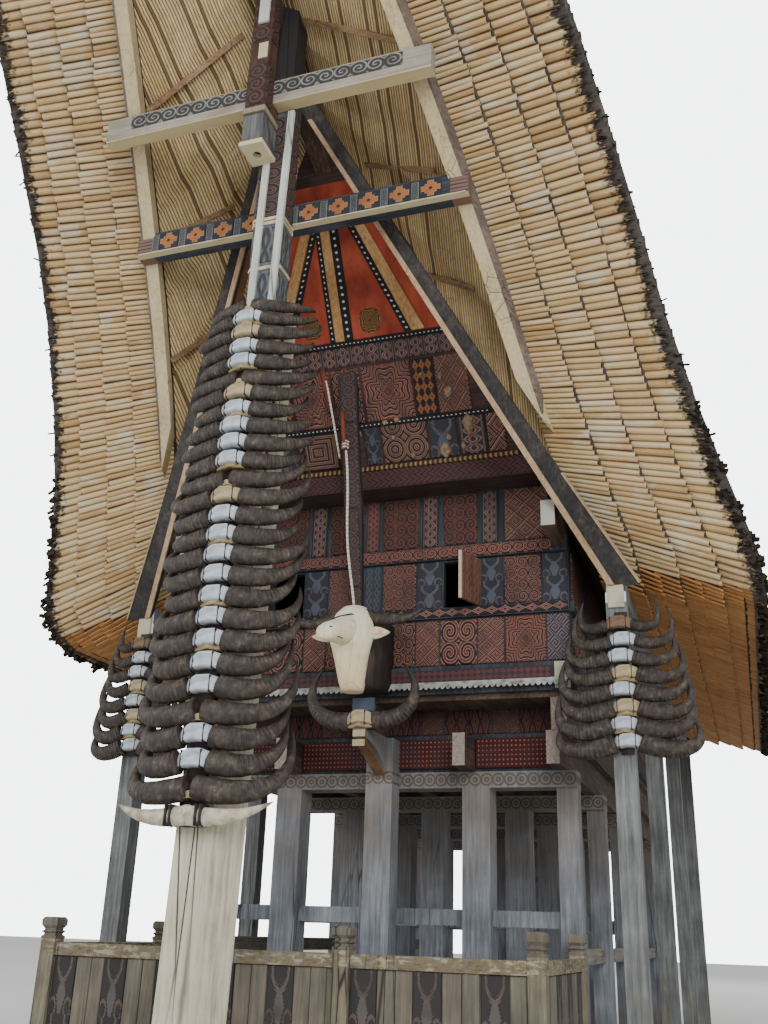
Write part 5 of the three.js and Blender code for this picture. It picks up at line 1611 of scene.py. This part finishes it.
# Lower horns
# A pair of great ridged horns on a tan skull plate stands on the arm of the centre post, in front of
# a dark blue block.
GREAT_CURVE = [(0.06, 0, 0), (0.42, 0, -0.06), (0.61, 0, 0.23), (0.37, 0, 0.48)]
great_pair = Stock()
middle = np.array((0.075, -4.3, 2.8003))
for side in (-1, 1):
    horn(great_pair, middle, handed(side, GREAT_CURVE), 0.084, old_horn, 34)
skull_plate(great_pair, middle + (0, -0.02, 0), 0.13, 0.085, tan_bone)
blue_block = carved("blue_block", plain, (66, 78, 92), (56, 66, 80), (66, 78, 92), 0.3)
great_pair.block((middle[0] - 0.1, middle[0] + 0.1), (-4.28, -4.24), (2.7403, 3.0), blue_block)
piece = great_pair.make("great_horn_pair")
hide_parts("lower_horns")
arm = Stock()
for z in (2.68, 2.6):
    arm.block((0.02, 0.13), (-4.364, -4.35), (z - 0.028, z + 0.028), tan_bone)
underside = [(4.345, 2.652), (4.2, 2.58), (4.0, 2.5), (3.8, 2.42), (3.72, 2.385)]
arm.skin([
    [(x, -reach, z + up) for x, up in ((0.026, -0.006), (0.124, -0.006), (0.124, 0.012), (0.026, 0.012))]
    for reach, z in underside
], brown_board)
arm.make("arm_of_the_centre_post", smooth=False)

# Porch fence
# Boards stand side by side between newels under a thick rail. They are bleached and cracked, some are
# carved, and lichen grows on the rail and on the tops of the newels.
paint, relief = wooden("fence_wood", "z", (50, 46, 42), (108, 102, 88), (146, 138, 114), 0.9)
moss = paint.noise(9, detail=5.0)
rail_zone = paint.z.between(0.868, 0.872)
flecks = paint.noise(30, (0.35, 0.35, 1), 5.0, 0.7)
paint.coat(rail_zone * moss.between(0.35, 0.55) * 0.7, (112, 100, 76))
paint.coat(rail_zone * flecks.between(0.52, 0.62) * 0.75, (164, 158, 136))
paint.coat(rail_zone * (1 - flecks.between(0.36, 0.44)) * 0.6, (74, 60, 46))
paint.coat(paint.z.between(0.96, 1.0) * 0.4, (168, 162, 142))
dress(paint.done(relief, 0.006), "porch_fence")
paint, relief = wooden("fence_boards", "z", (52, 49, 45), (110, 104, 92), (150, 143, 124), 1.0)
board_tint = paint.chance(paint.attribute("grade"))
paint.coat(board_tint * 0.6, (78, 70, 60))
board_wood = paint.done(relief, 0.006)
carved_board = carved("carved_fence_boards", buffalo, (84, 82, 80), (50, 48, 48), (92, 76, 68), 0.6)
chance = random.Random(3)
fence = Stock()
front_face = upright(-1, 5.365)
FENCE_LEFT, FENCE_RIGHT = -2.01, 1.77
FENCE_FOOT, FENCE_TOP, JOINT = 0.06, 0.868, 0.004
runs = [(front_face, -1.945, 0.335), (front_face, 0.465, 1.705)]
for x in (FENCE_LEFT, FENCE_RIGHT):
    for out in (1, -1):
        side_face = lambda y, z, proud, x=x, out=out: (x + out * (0.015 + proud), -y, z)
        runs.append((side_face, 3.77, 5.28))
for face, start, stop in runs:
    at, count = start, 0
    while at < stop - 0.06:
        width = min((0.2, 0.13, 0.12)[count % 3] + chance.uniform(-0.008, 0.008), stop - at)
        finish = carved_board if count % 3 == 0 else board_wood
        top = FENCE_TOP - chance.uniform(0.0, 0.004)
        proud = 0.014 + chance.uniform(0, 0.01)
        panel(fence, face, (at + JOINT, at + width - JOINT), (FENCE_FOOT, top), finish, (1, 2), proud)
        at += width
        count += 1
# Half the width of a newel's cap, from below upwards, each with its height.
CAP = [
    (0.064, 0.985), (0.066, 1.0), (0.05, 1.012), (0.05, 1.022), (0.066, 1.034), (0.05, 1.046),
    (0.05, 1.056), (0.068, 1.08), (0.07, 1.12), (0.055, 1.14),
]
NEWELS = ((FENCE_LEFT, 5.35), (0.4, 5.35), (FENCE_RIGHT, 5.35), (FENCE_LEFT, 3.7), (FENCE_RIGHT, 3.7))
for x, y in NEWELS:
    fence.skin([
        [(x + a * half, -y + b * half, z) for a, b in ((-1, -1), (1, -1), (1, 1), (-1, 1))]
        for half, z in CAP
    ], board_wood)
fence.make("fence_boards_and_caps", smooth=False)
